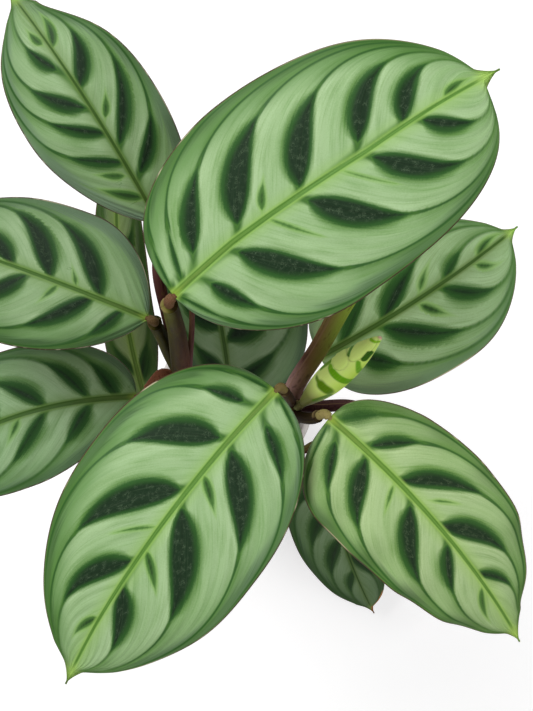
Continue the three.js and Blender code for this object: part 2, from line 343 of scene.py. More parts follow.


# Leaf blades. Each runs from base to tip, with its bow sideways and its arch upwards. A side
# is its greatest width, where that lies, and how full its root and shoulder are. A mark is the
# dark stripe along one vein: where it starts and ends, as shares of the length and of the
# half width, how wide it is and, for some, how many times softer. A line is a thin one near the
# base. The sides say how strong the dark band, the deeper zone within it and a bluish sheen are;
# the sheen is a reflection painted into the margin's colour.
# The look is a shade, a yellowness, a blur and the stripes' strength, and the midrib a shade and
# a width. Both shades are partly the leaf's own tone and partly painted light and shade: the blade's
# darkens blades that lie low in the plant and lightens leaf_right against the shadow of leaf_top, and
# the midrib's darkens the ribs of the lower blades near the plant's shaded middle. The rib's way is
# how far its colour lies to the left of the middle, from base to tip.
# What is dry starts at a share of the length and is so many mm deep from the left margin.
blades = {
    "leaf_top": {
        "base": (-14.5, 40.4, 285), "tip": (87.2, 110.1, 298), "bow": 3.1, "arch": 9, "waves": (0.8, 3, 0.1),
        "left": (37.9, 0.36, 2.85, 1.63), "right": (37.6, 0.4, 2.05, 2.9), "rows": 150, "columns": 97,
        "leftMarks": [
            (0.109, 0.21, 0.253, 0.73, 6.6), (0.240, 0.12, 0.445, 0.74, 9.1), (0.31, 0.08, 0.355, 0.27, 2.6),
            (0.417, 0.05, 0.594, 0.67, 8.7), (0.597, 0.08, 0.772, 0.70, 7.4), (0.717, 0.02, 0.848, 0.60, 6.5),
            (0.84, 0.04, 0.91, 0.18, 2.5),
        ],
        "leftLines": [(0.01, 0.20, 0.045, 0.80, 1.1), (0.045, 0.12, 0.10, 0.62, 1.7)],
        "rightLines": [(0.015, 0.18, 0.07, 0.80, 1.3)], "sides": ((1.0, 1.7, 0.1), (1.1, 0.8, 0.45)),
        "ribWay": (0.4, 1.0, 0.0, -0.9, -0.2, 0.0), "look": (1.05, 0.01, 1.0),
        "rightMarks": [
            (0.097, 0.19, 0.159, 0.71, 5.4), (0.200, 0.08, 0.398, 0.72, 8.5), (0.31, 0.01, 0.39, 0.38, 1.2),
            (0.416, 0.08, 0.618, 0.68, 8.7), (0.53, 0.06, 0.62, 0.39, 0.7), (0.607, 0.09, 0.815, 0.66, 7.7),
            (0.762, 0.06, 0.883, 0.44, 5.5),
        ],
    },
    "leaf_front_left": {
        "base": (18.3, 9.6, 262), "tip": (-55.2, -93.3, 246), "bow": -5, "arch": 14, "waves": (0.8, 3, 0.4),
        "left": (36.3, 0.43, 2.5, 1.55), "right": (35.4, 0.36, 2.5, 1.3), "rows": 150, "columns": 97,
        "leftMarks": [
            (0.085, 0.22, 0.175, 0.76, 4.8), (0.193, 0.07, 0.406, 0.73, 9.0), (0.29, 0.02, 0.35, 0.32, 3.0),
            (0.392, 0.05, 0.686, 0.64, 10.2), (0.54, 0.01, 0.62, 0.32, 3.1), (0.657, 0.02, 0.844, 0.41, 7.2),
        ],
        "leftLines": [(0.01, 0.22, 0.05, 0.80, 1.2)], "rightLines": [(0.01, 0.22, 0.045, 0.80, 1.4)],
        "sides": ((1.0, 0.8, 0.6), (1.4, 1.8, 0.15)), "look": (1.05, 0.01, 1.0),
        "ribWay": (-0.3, -0.4, -0.3, -0.3, -0.4, 0.0),
        "rightMarks": [
            (0.079, 0.23, 0.127, 0.69, 4.6), (0.188, 0.10, 0.358, 0.76, 9.4),
            (0.355, 0.07, 0.612, 0.70, 10.0), (0.475, 0.05, 0.55, 0.35, 1.2),
            (0.583, 0.04, 0.791, 0.62, 7.7), (0.77, 0.04, 0.85, 0.32, 3.1),
        ],
    },
    "leaf_front_right": {
        "base": (36.5, 0.2, 256), "tip": (106.2, -81.6, 232), "bow": 4.4, "arch": 12, "waves": (1.6, 5, 0.2),
        "left": (25.9, 0.47, 2.4, 0.88), "right": (29, 0.22, 2.85, 1.65), "rows": 140, "columns": 81,
        "leftMarks": [
            (0.03, 0.22, 0.12, 0.72, 4.2, 3.2), (0.152, 0.11, 0.264, 0.65, 4.5),
            (0.291, 0.03, 0.517, 0.73, 6.5), (0.41, 0.16, 0.47, 0.38, 1.0),
            (0.487, 0.02, 0.711, 0.62, 7.3), (0.694, 0.02, 0.808, 0.54, 3.7),
        ],
        "rightLines": [(0.01, 0.20, 0.05, 0.80, 1.2)], "sides": ((0.5, 0.7, 0.0), (0.9, 0.5, 0.3)),
        "look": (1.1, 0.08, 1.0),
        "rightMarks": [
            (0.062, 0.21, 0.161, 0.70, 4.3), (0.167, 0.07, 0.325, 0.74, 6.9), (0.29, 0.07, 0.33, 0.34, 1.4),
            (0.373, 0.09, 0.616, 0.71, 7.3), (0.551, 0.07, 0.710, 0.49, 5.0), (0.743, 0.06, 0.857, 0.42, 2.3),
        ],
    },
    "leaf_upper_left": {
        "base": (-24, 69.5, 232), "tip": (-76, 150, 244), "bow": -2.2, "arch": 8, "waves": (1.2, 3, 0),
        "left": (25.1, 0.48, 1.3, 1.22), "right": (23.3, 0.42, 3.5, 0.87), "rows": 120, "columns": 77,
        "look": (0.93, 0.0, 1.0), "sides": ((0.5, 0.7, 1.2), (0.9, 0.9, 0.7)), "midrib": (0.5, 0.6),
        "leftMarks": [
            (0.10, 0.02, 0.20, 0.67, 3.5), (0.20, 0.13, 0.25, 0.51, 2.5), (0.243, 0.02, 0.371, 0.71, 3.9),
            (0.362, 0.02, 0.516, 0.65, 4.5), (0.473, 0.07, 0.655, 0.62, 5.7), (0.645, 0.12, 0.786, 0.40, 4.6),
            (0.75, 0.09, 0.82, 0.21, 2.8),
        ],
        "rightMarks": [
            (0.181, 0.13, 0.359, 0.75, 5.4), (0.303, 0.07, 0.611, 0.77, 5.4), (0.41, 0.10, 0.48, 0.30, 2.5),
            (0.547, 0.02, 0.751, 0.61, 6.1), (0.72, 0.03, 0.84, 0.45, 3.5),
        ],
    },
    "leaf_left": {
        "base": (-26.5, 34.5, 246), "tip": (-121, 68, 225), "bow": -1.5, "arch": 10, "waves": (0.8, 3, 0.5),
        "left": (27.4, 0.53, 1.5, 1.7), "right": (26.7, 0.3, 1.5, 1.1), "rows": 120, "columns": 77,
        "look": (0.78, 0.0, 1.1), "sides": ((1.2, 1.4, 0.2), (1.1, 1.0, 0.9)), "midrib": (0.7, 0.8),
        "leftMarks": [
            (0.091, 0.07, 0.178, 0.77, 4.3), (0.201, 0.02, 0.412, 0.72, 6.5), (0.33, 0.03, 0.37, 0.31, 1.8),
            (0.446, 0.05, 0.636, 0.62, 6.3), (0.66, 0.04, 0.80, 0.50, 6.0),
        ],
        "rightMarks": [
            (0.174, 0.02, 0.423, 0.80, 7.2), (0.27, 0.05, 0.30, 0.23, 1.4), (0.363, 0.03, 0.580, 0.79, 8.0),
            (0.505, 0.02, 0.678, 0.46, 6.9), (0.70, 0.05, 0.82, 0.50, 6.0),
        ],
    },
    "leaf_lower_left": {
        "base": (-35.5, 5.5, 195), "tip": (-135, -32, 178), "bow": -9.5, "arch": 8, "waves": (1, 3, 0.3),
        "left": (28, 0.48, 1.5, 1.3), "right": (25.9, 0.4, 2.4, 1.6), "rows": 110, "columns": 71,
        "look": (0.97, -0.03, 1.6), "sides": ((0.9, 1.0, 0.5), (0.9, 1.0, 0.5)), "midrib": (0.55, 1.1),
        "leftMarks": [
            (0.166, 0.10, 0.286, 0.64, 5.9), (0.333, 0.07, 0.523, 0.61, 5.3), (0.43, 0.05, 0.49, 0.28, 2.3),
            (0.550, 0.05, 0.720, 0.62, 8.0), (0.74, 0.05, 0.84, 0.45, 5.0),
        ],
        "rightMarks": [
            (0.063, 0.02, 0.154, 0.72, 5.1), (0.171, 0.08, 0.306, 0.72, 5.3), (0.327, 0.05, 0.486, 0.61, 6.4),
            (0.504, 0.04, 0.639, 0.62, 8.0), (0.66, 0.05, 0.80, 0.52, 6.0),
        ],
    },
    "leaf_right": {
        "base": (35, 21, 212), "tip": (107.4, 69, 222), "bow": -2, "arch": 8, "waves": (0.8, 3, 0.2),
        "left": (26, 0.43, 3.3, 1.35), "right": (28.9, 0.47, 3.4, 1.38), "rows": 120, "columns": 77,
        # its high shade is painted light, against the shadow that leaf_top casts on it
        "look": (1.48, 0.0, 1.6), "sides": ((0.1, 0.4, 0.6), (0.6, 0.6, 0.7)), "midrib": (0.45, 1.0),
        "leftMarks": [
            (0.106, 0.02, 0.339, 0.56, 4.7), (0.306, 0.02, 0.568, 0.50, 7.5), (0.50, 0.09, 0.58, 0.32, 2.2),
            (0.617, 0.04, 0.745, 0.30, 3.7), (0.78, 0.02, 0.90, 0.30, 2.9),
        ],
        "rightMarks": [
            (0.158, 0.30, 0.288, 0.64, 6.7), (0.291, 0.07, 0.572, 0.66, 7.8), (0.47, 0.07, 0.54, 0.36, 3.3),
            (0.585, 0.06, 0.773, 0.58, 5.7), (0.754, 0.07, 0.824, 0.33, 2.6),
        ],
    },
    "leaf_low_front": {
        "base": (42, -30, 56), "tip": (72, -115, 12), "bow": -3, "arch": 10, "waves": (1, 3, 0.6),
        "left": (17, 0.43, 2.8, 2.4), "right": (24, 0.28, 2.8, 1.2), "rows": 90, "columns": 61,
        # its low shade is partly painted shade, as it lies under the others near the floor
        "look": (0.47, -0.02, 1.7, 0.9), "dry": (0.86, 1.6), "midrib": (0.6, 0.6),
        "leftMarks": [
            (0.12, 0.05, 0.27, 0.72, 5.5), (0.36, 0.05, 0.55, 0.70, 6.0), (0.58, 0.05, 0.76, 0.55, 5.5),
        ],
        "rightMarks": [
            (0.10, 0.07, 0.22, 0.70, 6.0), (0.26, 0.07, 0.46, 0.68, 7.0), (0.46, 0.05, 0.66, 0.60, 6.5),
            (0.68, 0.04, 0.80, 0.45, 4.0),
        ],
    },
    "leaf_under_middle": {
        "base": (0, 5, 151), "tip": (-14.5, 85.5, 195), "bow": -2, "arch": 9, "waves": (1, 3, 0.2),
        "left": (20, 0.45, 2.5, 1.5), "right": (36, 0.48, 6.5, 1.5), "rows": 90, "columns": 61,
        "look": (0.82, -0.04, 1.7), "midrib": (0.6, 0.8),
        "leftMarks": [
            (0.12, 0.15, 0.27, 0.62, 6.6), (0.34, 0.05, 0.52, 0.68, 7.5), (0.56, 0.05, 0.74, 0.58, 5.0),
        ],
        "rightMarks": [
            (0.06, 0.05, 0.20, 0.62, 7.0), (0.28, 0.05, 0.48, 0.70, 11.0), (0.48, 0.05, 0.68, 0.66, 8.0),
            (0.68, 0.05, 0.82, 0.50, 5.0),
        ],
    },
    "leaf_under_left": {
        "base": (-36.5, 0, 140), "tip": (-46.7, 103.9, 160), "bow": 4, "arch": 8, "waves": (1, 3, 0.7),
        "left": (11, 0.23, 2.8, 3.3), "right": (11.9, 0.34, 1.4, 3.2), "rows": 90, "columns": 51,
        "look": (0.69, 0.09, 2.0),
        "leftMarks": [
            (0.14, 0.05, 0.27, 0.70, 4.0), (0.38, 0.05, 0.52, 0.66, 4.5), (0.60, 0.05, 0.74, 0.55, 4.0),
        ],
        "rightMarks": [
            (0.10, 0.05, 0.26, 0.60, 6.0), (0.34, 0.05, 0.50, 0.66, 5.5), (0.56, 0.05, 0.72, 0.60, 5.0),
        ],
    },
    "leaf_under_top": {
        "base": (48, 50.5, 252), "tip": (77, 108, 262), "bow": 1, "arch": 6, "waves": (0.6, 3, 0),
        "left": (17, 0.42, 2.6, 1.4), "right": (17, 0.42, 2.6, 1.4), "rows": 80, "columns": 51,
        **hiddenMarks(),
    },
    "leaf_under_base": {
        "base": (-10.5, 46.5, 240), "tip": (14, 94, 262), "bow": -1, "arch": 4, "waves": (0.6, 3, 0.5),
        "left": (14, 0.42, 2.6, 1.4), "right": (14.5, 0.42, 2.6, 1.4), "rows": 80, "columns": 51,
        **hiddenMarks(1.0),
    },
    "leaf_under_right": {
        "base": (56.5, -1.5, 218), "tip": (97.5, -57, 210), "bow": 1, "arch": 6, "waves": (0.8, 3, 0.4),
        "left": (17, 0.42, 2.6, 1.4), "right": (17, 0.42, 2.6, 1.4), "rows": 80, "columns": 51,
        **hiddenMarks(),
    },
}

bladeForm = {
    "thickness": 0.5, "ribDepth": 0.9, "ribWidth": 1.2, "grooveDepth": 0.25, "grooveWidth": 0.8,
    "bodyEnd": 0.945, "dripTipStart": 0.9, "dripTipShare": 0.24, "dripTipTaper": 1.6,
    "blending": 5.0,  # how sharply the body's outline gives way to the drip tip's
    "attachWidth": 1.6, "leastWidth": 0.35, "rootCurve": 2.0, "shoulderCurve": 2.5,
    "veeRise": 0.08, "marginDroop": 0.18, "waveShift": 1.7, "waveFade": 1.5,
    "crowding": 0.45,  # how much closer the columns lie at the midrib and the margin
    "marginRound": 8.0, "endRound": 40,  # how late the skin thins to the margin and to both ends
    "weld": 0.0002,  # points closer than this become one
}


# one blade, by its rule: a grid bent along its midrib, then a second one below it
def bladeTree():
    form = bladeForm
    sides = ["Width", "Widest", "Root", "Shoulder"]
    numbers = {f"{side} {part}": 1.0 for side in ("Left", "Right") for part in sides}
    tree, given, finish = newGroup(
        "blade by its rule", "GeometryNodeTree",
        {
            "Base": (0.0, 0.0, 0.0), "Tip": (0.0, 1.0, 0.0), "Bow": 0.0, "Arch": 0.0, **numbers,
            "Wave Height": 1.0, "Wave Count": 3.0, "Wave Start": 0.0, "Rows": 100, "Columns": 61,
            "Finish": "Material",
        },
        {"Blade": "Geometry"},
    )

    grid = output(tree, "GeometryNodeMeshGrid", {
        "Size X": 1.0, "Size Y": 2.0, "Vertices X": given["Rows"], "Vertices Y": given["Columns"],
    })
    run, side = output(tree, "GeometryNodeInputPosition").parts()[:2]
    share = 0.5 - ((run + 0.5) * math.pi).math("COSINE") * 0.5
    outward = side.math("ABSOLUTE")
    crowded = outward - (outward * (2 * math.pi)).math("SINE") * (form["crowding"] / (2 * math.pi))
    grid = stored(tree, grid, "bladeU", share)
    grid = stored(tree, grid, "bladeV", crowded * side.math("SIGN"))

    u = named(tree, "bladeU")
    v = named(tree, "bladeV")
    out = v.math("ABSOLUTE")
    onRight = v.math("LESS_THAN", 0.0)
    width, widest, root, shoulder = [
        given[f"Left {part}"] + (given[f"Right {part}"] - given[f"Left {part}"]) * onRight for part in sides
    ]
    towardsRoot = (1 - u / widest).clamped()
    towardsTip = ((u - widest) / (form["bodyEnd"] - widest)).clamped()
    rise = (1 - towardsRoot ** form["rootCurve"]) ** (root ** -1.0)
    fall = (1 - towardsTip ** form["shoulderCurve"]) ** (shoulder ** -1.0)
    pointed = ((1 - u) / (1 - form["dripTipStart"])).clamped() ** form["dripTipTaper"]
    dripTip = width * pointed * form["dripTipShare"]
    nearRoot = (width * rise).math("MAXIMUM", form["attachWidth"])
    nearTip = ((width * fall) ** form["blending"] + dripTip ** form["blending"]) ** (1 / form["blending"])
    nearTip = nearTip.math("MAXIMUM", form["leastWidth"])
    halfWidth = nearTip + (nearRoot - nearTip) * u.math("LESS_THAN", widest)

    up = pointAt(tree, 0.0, 0.0, 1.0)
    reach = given["Tip"] - given["Base"]
    across = up.vector("CROSS_PRODUCT", reach).vector("NORMALIZE")
    middle = given["Base"] + reach * 0.5 + across * (given["Bow"] * 2) + up * (given["Arch"] * 2)
    rest = 1 - u
    point = given["Base"] * (rest * rest) + middle * (u * rest * 2) + given["Tip"] * (u * u)
    along = ((middle - given["Base"]) * rest + (given["Tip"] - middle) * u).vector("NORMALIZE")
    left = up.vector("CROSS_PRODUCT", along).vector("NORMALIZE")
    normal = along.vector("CROSS_PRODUCT", left)

    greatest = given["Left Width"].math("MAXIMUM", given["Right Width"])
    phase = (given["Wave Count"] * u + given["Wave Start"]) * (2 * math.pi) + onRight * form["waveShift"]
    wave = given["Wave Height"] * out ** 3.0 * phase.math("SINE")
    wave = wave * (halfWidth * form["waveFade"] / greatest).clamped()
    lift = halfWidth * (out * form["veeRise"] - out * out * form["marginDroop"]) + wave
    sheet = point + left * (v * halfWidth) + normal * lift

    # the skin thins to nothing at the margin, the base and the tip, where both faces meet
    ends = (u * rest * form["endRound"]).clamped() ** 0.5
    thin = (1 - out ** form["marginRound"]).math("MAXIMUM", 0.0) ** 0.5 * ends * (form["thickness"] / 2)
    fromRib = out * halfWidth
    groove = (1 - fromRib / form["grooveWidth"]).clamped() ** 2.0 * ends * rest * form["grooveDepth"]
    rib = (1 - (fromRib / form["ribWidth"]) ** 2.0).clamped() * ends * (1 - u * 0.8) * form["ribDepth"]
    grid = stored(tree, grid, "bladeWidth", halfWidth)
    grid = stored(tree, grid, "sheetNormal", normal)
    faces = []
    for under, shift in ((0.0, thin - groove), (1.0, (thin + rib) * -1)):
        face = stored(tree, grid, "underSide", u * 0 + under)
        face = output(tree, "GeometryNodeSetPosition", {0: face, "Position": (sheet + normal * shift) * mm})
        faces.append(face)
    faces[1] = output(tree, "GeometryNodeFlipFaces", {0: faces[1]})
    whole = gathered(tree, faces)
    whole = output(tree, "GeometryNodeMergeByDistance", {0: whole, "Distance": form["weld"] * mm})
    whole = output(tree, "GeometryNodeRealizeInstances", {0: whole})
    return finish(Blade=output(tree, "GeometryNodeSetMaterial", {0: whole, "Material": given["Finish"]}))


markForm = {
    "belly": 0.68, "outer": 1.2, "lean": 0.16, "fullness": 1.03, "flankWidth": 2.4,
    "softTipward": 0.6, "softBaseward": 1.0, "pleatHeight": 0.16, "pleatSpan": 7.0,
    "paleReach": 3.2, "deepReach": 2.2,  # how far the ground beside a stripe is paler or deeper
    "thinnest": 3.6,  # narrower marks than this are thin ones, which have no tail
    "thinReach": 3.0,  # and are not looked for further away than this
    "outermost": 0.985,  # the share of the length or the half width up to which a vein is followed
    "longestNeck": 0.12,  # the longest share of the length that a vein runs beside the midrib
}


# how far a vein has run by the time that it lies at a share of the half width
def veinRun(share):
    held = np.clip(np.abs(share), 0, markForm["outermost"])
    return held / np.sqrt(1 - held * held)


# one mark's path over the flat blade: a short run beside the midrib, then out along its vein
def markPath(mark, length, widths):
    u0, v0, u1, v1 = mark[:4]
    slope = (veinRun(v1) - veinRun(v0)) / (u1 - u0)
    start = u0 - veinRun(v0) / slope
    us = u0 + (markForm["outermost"] - u0) * np.linspace(0, 1, 150) ** 1.3
    vs = (us - start) * slope / np.sqrt(1 + ((us - start) * slope) ** 2)
    out = vs * np.interp(us, *widths)
    climb = (out[1] - out[0]) / (us[1] - us[0])
    neck = min(2 * out[0] / climb, markForm["longestNeck"])
    neckUs = u0 + neck * np.linspace(-1, 0, 12)[:-1]
    neckOut = out[0] * ((neckUs - u0 + neck) / neck) ** 2
    path = np.stack([np.concatenate([neckUs, us]) * length, np.concatenate([neckOut, out])], 1)
    runs = np.concatenate([[0], np.cumsum(np.hypot(*np.diff(path, axis=0).T))])
    tangents = np.gradient(path, axis=0)
    tangents /= np.hypot(*tangents.T)[:, None]
    first = runs[len(neckUs)]
    last = np.interp(u1 * length, path[:, 0], runs)
    return path, tangents, runs, first, last, start, slope


# where points lie beside a path: how far along, and how far to its tipward side
def besidePath(here, path, tangents, runs):
    away = ((here[:, None] - path[None]) ** 2).sum(2)
    nearest = away.argmin(1)
    step = here - path[nearest]
    tangent = tangents[nearest]
    at = runs[nearest] + (step * tangent).sum(1)
    sideways = tangent[:, 1] * step[:, 0] - tangent[:, 0] * step[:, 1]
    return at, sideways


# distances from the stripes of one side, for points given along and across the flat blade
def sideMarks(marks, lines, length, widths, u, v, widthHere):
    form = markForm
    here = np.stack([u * length, np.abs(v) * widthHere], 1)
    found = {key: np.zeros(len(u)) for key in ("flank", "pale", "deep")}
    best = np.full(len(u), -1e3)
    starts = []
    slopes = []
    turns = {"stripe": 0, "thin": 0}

    def keep(better, **values):
        for key, value in values.items():
            found[key] = np.where(better, value, found.get(key, value))

    for mark in sorted([*marks, *lines]):
        path, tangents, runs, first, last, start, slope = markPath(mark, length, widths)
        at, sideways = besidePath(here, path, tangents, runs)
        share = np.clip((at - first) / (last - first), 0, 1)
        belly = (share ** form["belly"]) * ((1 - share) ** form["outer"])
        peak = form["belly"] / (form["belly"] + form["outer"])
        belly /= (peak ** form["belly"]) * ((1 - peak) ** form["outer"])
        width = mark[4]
        beyond = np.maximum(first - at, at - last)
        lean = np.where(sideways > 0, 1 - form["lean"], 1 + form["lean"])
        lens = width / 2 * form["fullness"] * belly * lean
        reach = np.where(beyond > 0, -0.3 * beyond, lens)
        if width < form["thinnest"] and mark not in lines:
            key = ("thinA", "thinB")[turns["thin"] % 2]
            known = found.get(key + "Offset", np.full(len(u), 99.0))
            far = np.abs(sideways) > form["thinReach"]
            nearer = np.abs(sideways) < np.abs(known)
            keep(nearer, **{key + "Offset": sideways, key + "Reach": np.where(far, -2, reach)})
            turns["thin"] += 1
            continue
        starts.append(start)
        slopes.append(slope)
        basal = np.clip(-sideways, 0, None)
        flank = np.exp(-basal / form["flankWidth"] - np.clip(sideways, 0, None) / 0.5)
        flank *= np.clip((at - last) / 9 + 0.5, 0, 1)
        found["flank"] = np.maximum(found["flank"], flank)
        if mark in marks:
            beside = np.clip((at - first) / 6, 0, 1) * np.exp(-np.clip(at - last, 0, None) / 30)
            outside = np.clip(np.abs(sideways) - lens, 0, None)
            for key, onSide in (("pale", sideways > 0), ("deep", sideways < 0)):
                glow = np.exp(-outside / form[key + "Reach"]) * beside * onSide
                found[key] = np.maximum(found[key], glow)
        nearness = -np.abs(sideways) + lens * 0.3
        better = nearness > best
        best = np.where(better, nearness, best)
        softness = np.where(sideways > 0, form["softTipward"], form["softBaseward"])
        softness *= mark[5] if len(mark) > 5 else 1
        softness *= np.clip(lens / 2, 0.65, 1)
        offset = sideways * (-1) ** turns["stripe"]
        keep(better, offset=offset, reach=reach, past=at - last, before=first - at, soft=softness)
        turns["stripe"] += 1
    for key in ("thinAOffset", "thinBOffset", "thinAReach", "thinBReach"):
        found.setdefault(key, np.full(len(u), 9.0 if key.endswith("Offset") else -2.0))

    # the vein through each point: where along the midrib it starts
    guesses = np.linspace(-0.6, 1.0, 240)
    slope = np.interp(guesses, starts, slopes)
    rise = slope[None] * (u[:, None] - guesses[None]) - veinRun(v)[:, None]
    below = np.clip((np.minimum.accumulate(rise, 1) > 0).sum(1), 1, len(guesses) - 1)
    high = np.take_along_axis(rise, below[:, None] - 1, 1)[:, 0]
    low = np.take_along_axis(rise, below[:, None], 1)[:, 0]
    mix = np.clip(high / np.maximum(high - low, 1e-9), 0, 1)
    found["vein"] = guesses[below - 1] + (guesses[below] - guesses[below - 1]) * mix
    return found


# writes on a blade's points where they lie to its marks, veins, midrib and margin
def dressBlade(piece, blade):
    mesh = piece.data
    u = readAttribute(mesh, "bladeU").astype(float)
    v = readAttribute(mesh, "bladeV").astype(float)
    width = readAttribute(mesh, "bladeWidth").astype(float)
    normal = readAttribute(mesh, "sheetNormal", 3)
    length = float(np.linalg.norm(np.subtract(blade["tip"], blade["base"])))
    fields = {}
    for onSide, side in ((v >= 0, "left"), (v < 0, "right")):
        rowU, first = np.unique(np.round(u[onSide], 5), return_index=True)
        widths = (rowU, width[onSide][first])
        marks, lines = blade[side + "Marks"], blade.get(side + "Lines", [])
        found = sideMarks(marks, lines, length, widths, u[onSide], v[onSide], width[onSide])
        for key, part in found.items():
            fields.setdefault(key, np.zeros(len(u)))[onSide] = part
    vein = fields.pop("vein")
    for key, values in fields.items():
        writeAttribute(mesh, "mark " + key, values)
    writeAttribute(mesh, "edgeGap", (1 - np.abs(v)) * width + 12 * np.clip(0.02 - u, 0, 1))
    tones = np.where(v[:, None] > 0, *np.array(blade.get("sides", ((1, 1, 0.4), (1, 1, 0.4)))))
    writeAttribute(mesh, "sideTonesAndSheen", tones * np.clip((0.95 - u) / 0.12, 0, 1)[:, None])
    way = blade.get("ribWay", (0, 0))
    writeAttribute(mesh, "ribGap", v * width - np.interp(u, np.linspace(0, 1, len(way)), way))
    start, depth = blade.get("dry", (2, 1))
    edge = (1 - v) * width
    dryness = np.clip((u - start) / 0.05, 0, 1) * np.clip((depth - edge) / 1.2 + 0.5, 0, 1)
    writeAttribute(mesh, "dryness", dryness)
    place = np.stack([vein * length, np.abs(v) * width + u * length * 0.6, np.sign(v) * 7], 1)
    writeAttribute(mesh, "veinPlace", place)
    form = markForm
    pleat = np.sin(2 * math.pi * vein * length / form["pleatSpan"] + np.sign(v))
    pleat *= form["pleatHeight"] * np.clip(np.abs(v) * 4, 0, 1) * np.clip((1 - np.abs(v)) * 6, 0, 1)
    writePoints(mesh, readPoints(mesh) + normal * (pleat * mm)[:, None])
    dropAttributes(mesh, ["bladeV", "bladeWidth", "sheetNormal"])
    mesh.shade_smooth()


# the colours of a blade, as they look in plain light, with a sheen painted on its margin among them
leafLook = {
    "ground": (158, 190, 138), "groundPale": (178, 206, 158), "groundDeep": (116, 156, 90),
    "outer": (100, 142, 78), "band": (66, 102, 50), "paintedSheen": (124, 150, 122),
    "glow": (76, 122, 46), "fringe": (48, 92, 38), "core": (22, 46, 24), "hairSheen": (120, 146, 112),
    "vein": (16, 36, 16), "thin": (62, 108, 44), "lime": (128, 176, 74),
    "rib": (96, 142, 60), "ribBase": (118, 146, 66), "ribFlank": (146, 188, 92), "ribLine": (80, 126, 44),
    "base": (160, 192, 72), "tip": (176, 212, 110), "rim": (84, 56, 44), "rimPale": (206, 194, 164),
    "under": (104, 52, 70), "underRib": (128, 92, 74), "dry": (176, 124, 74),
}


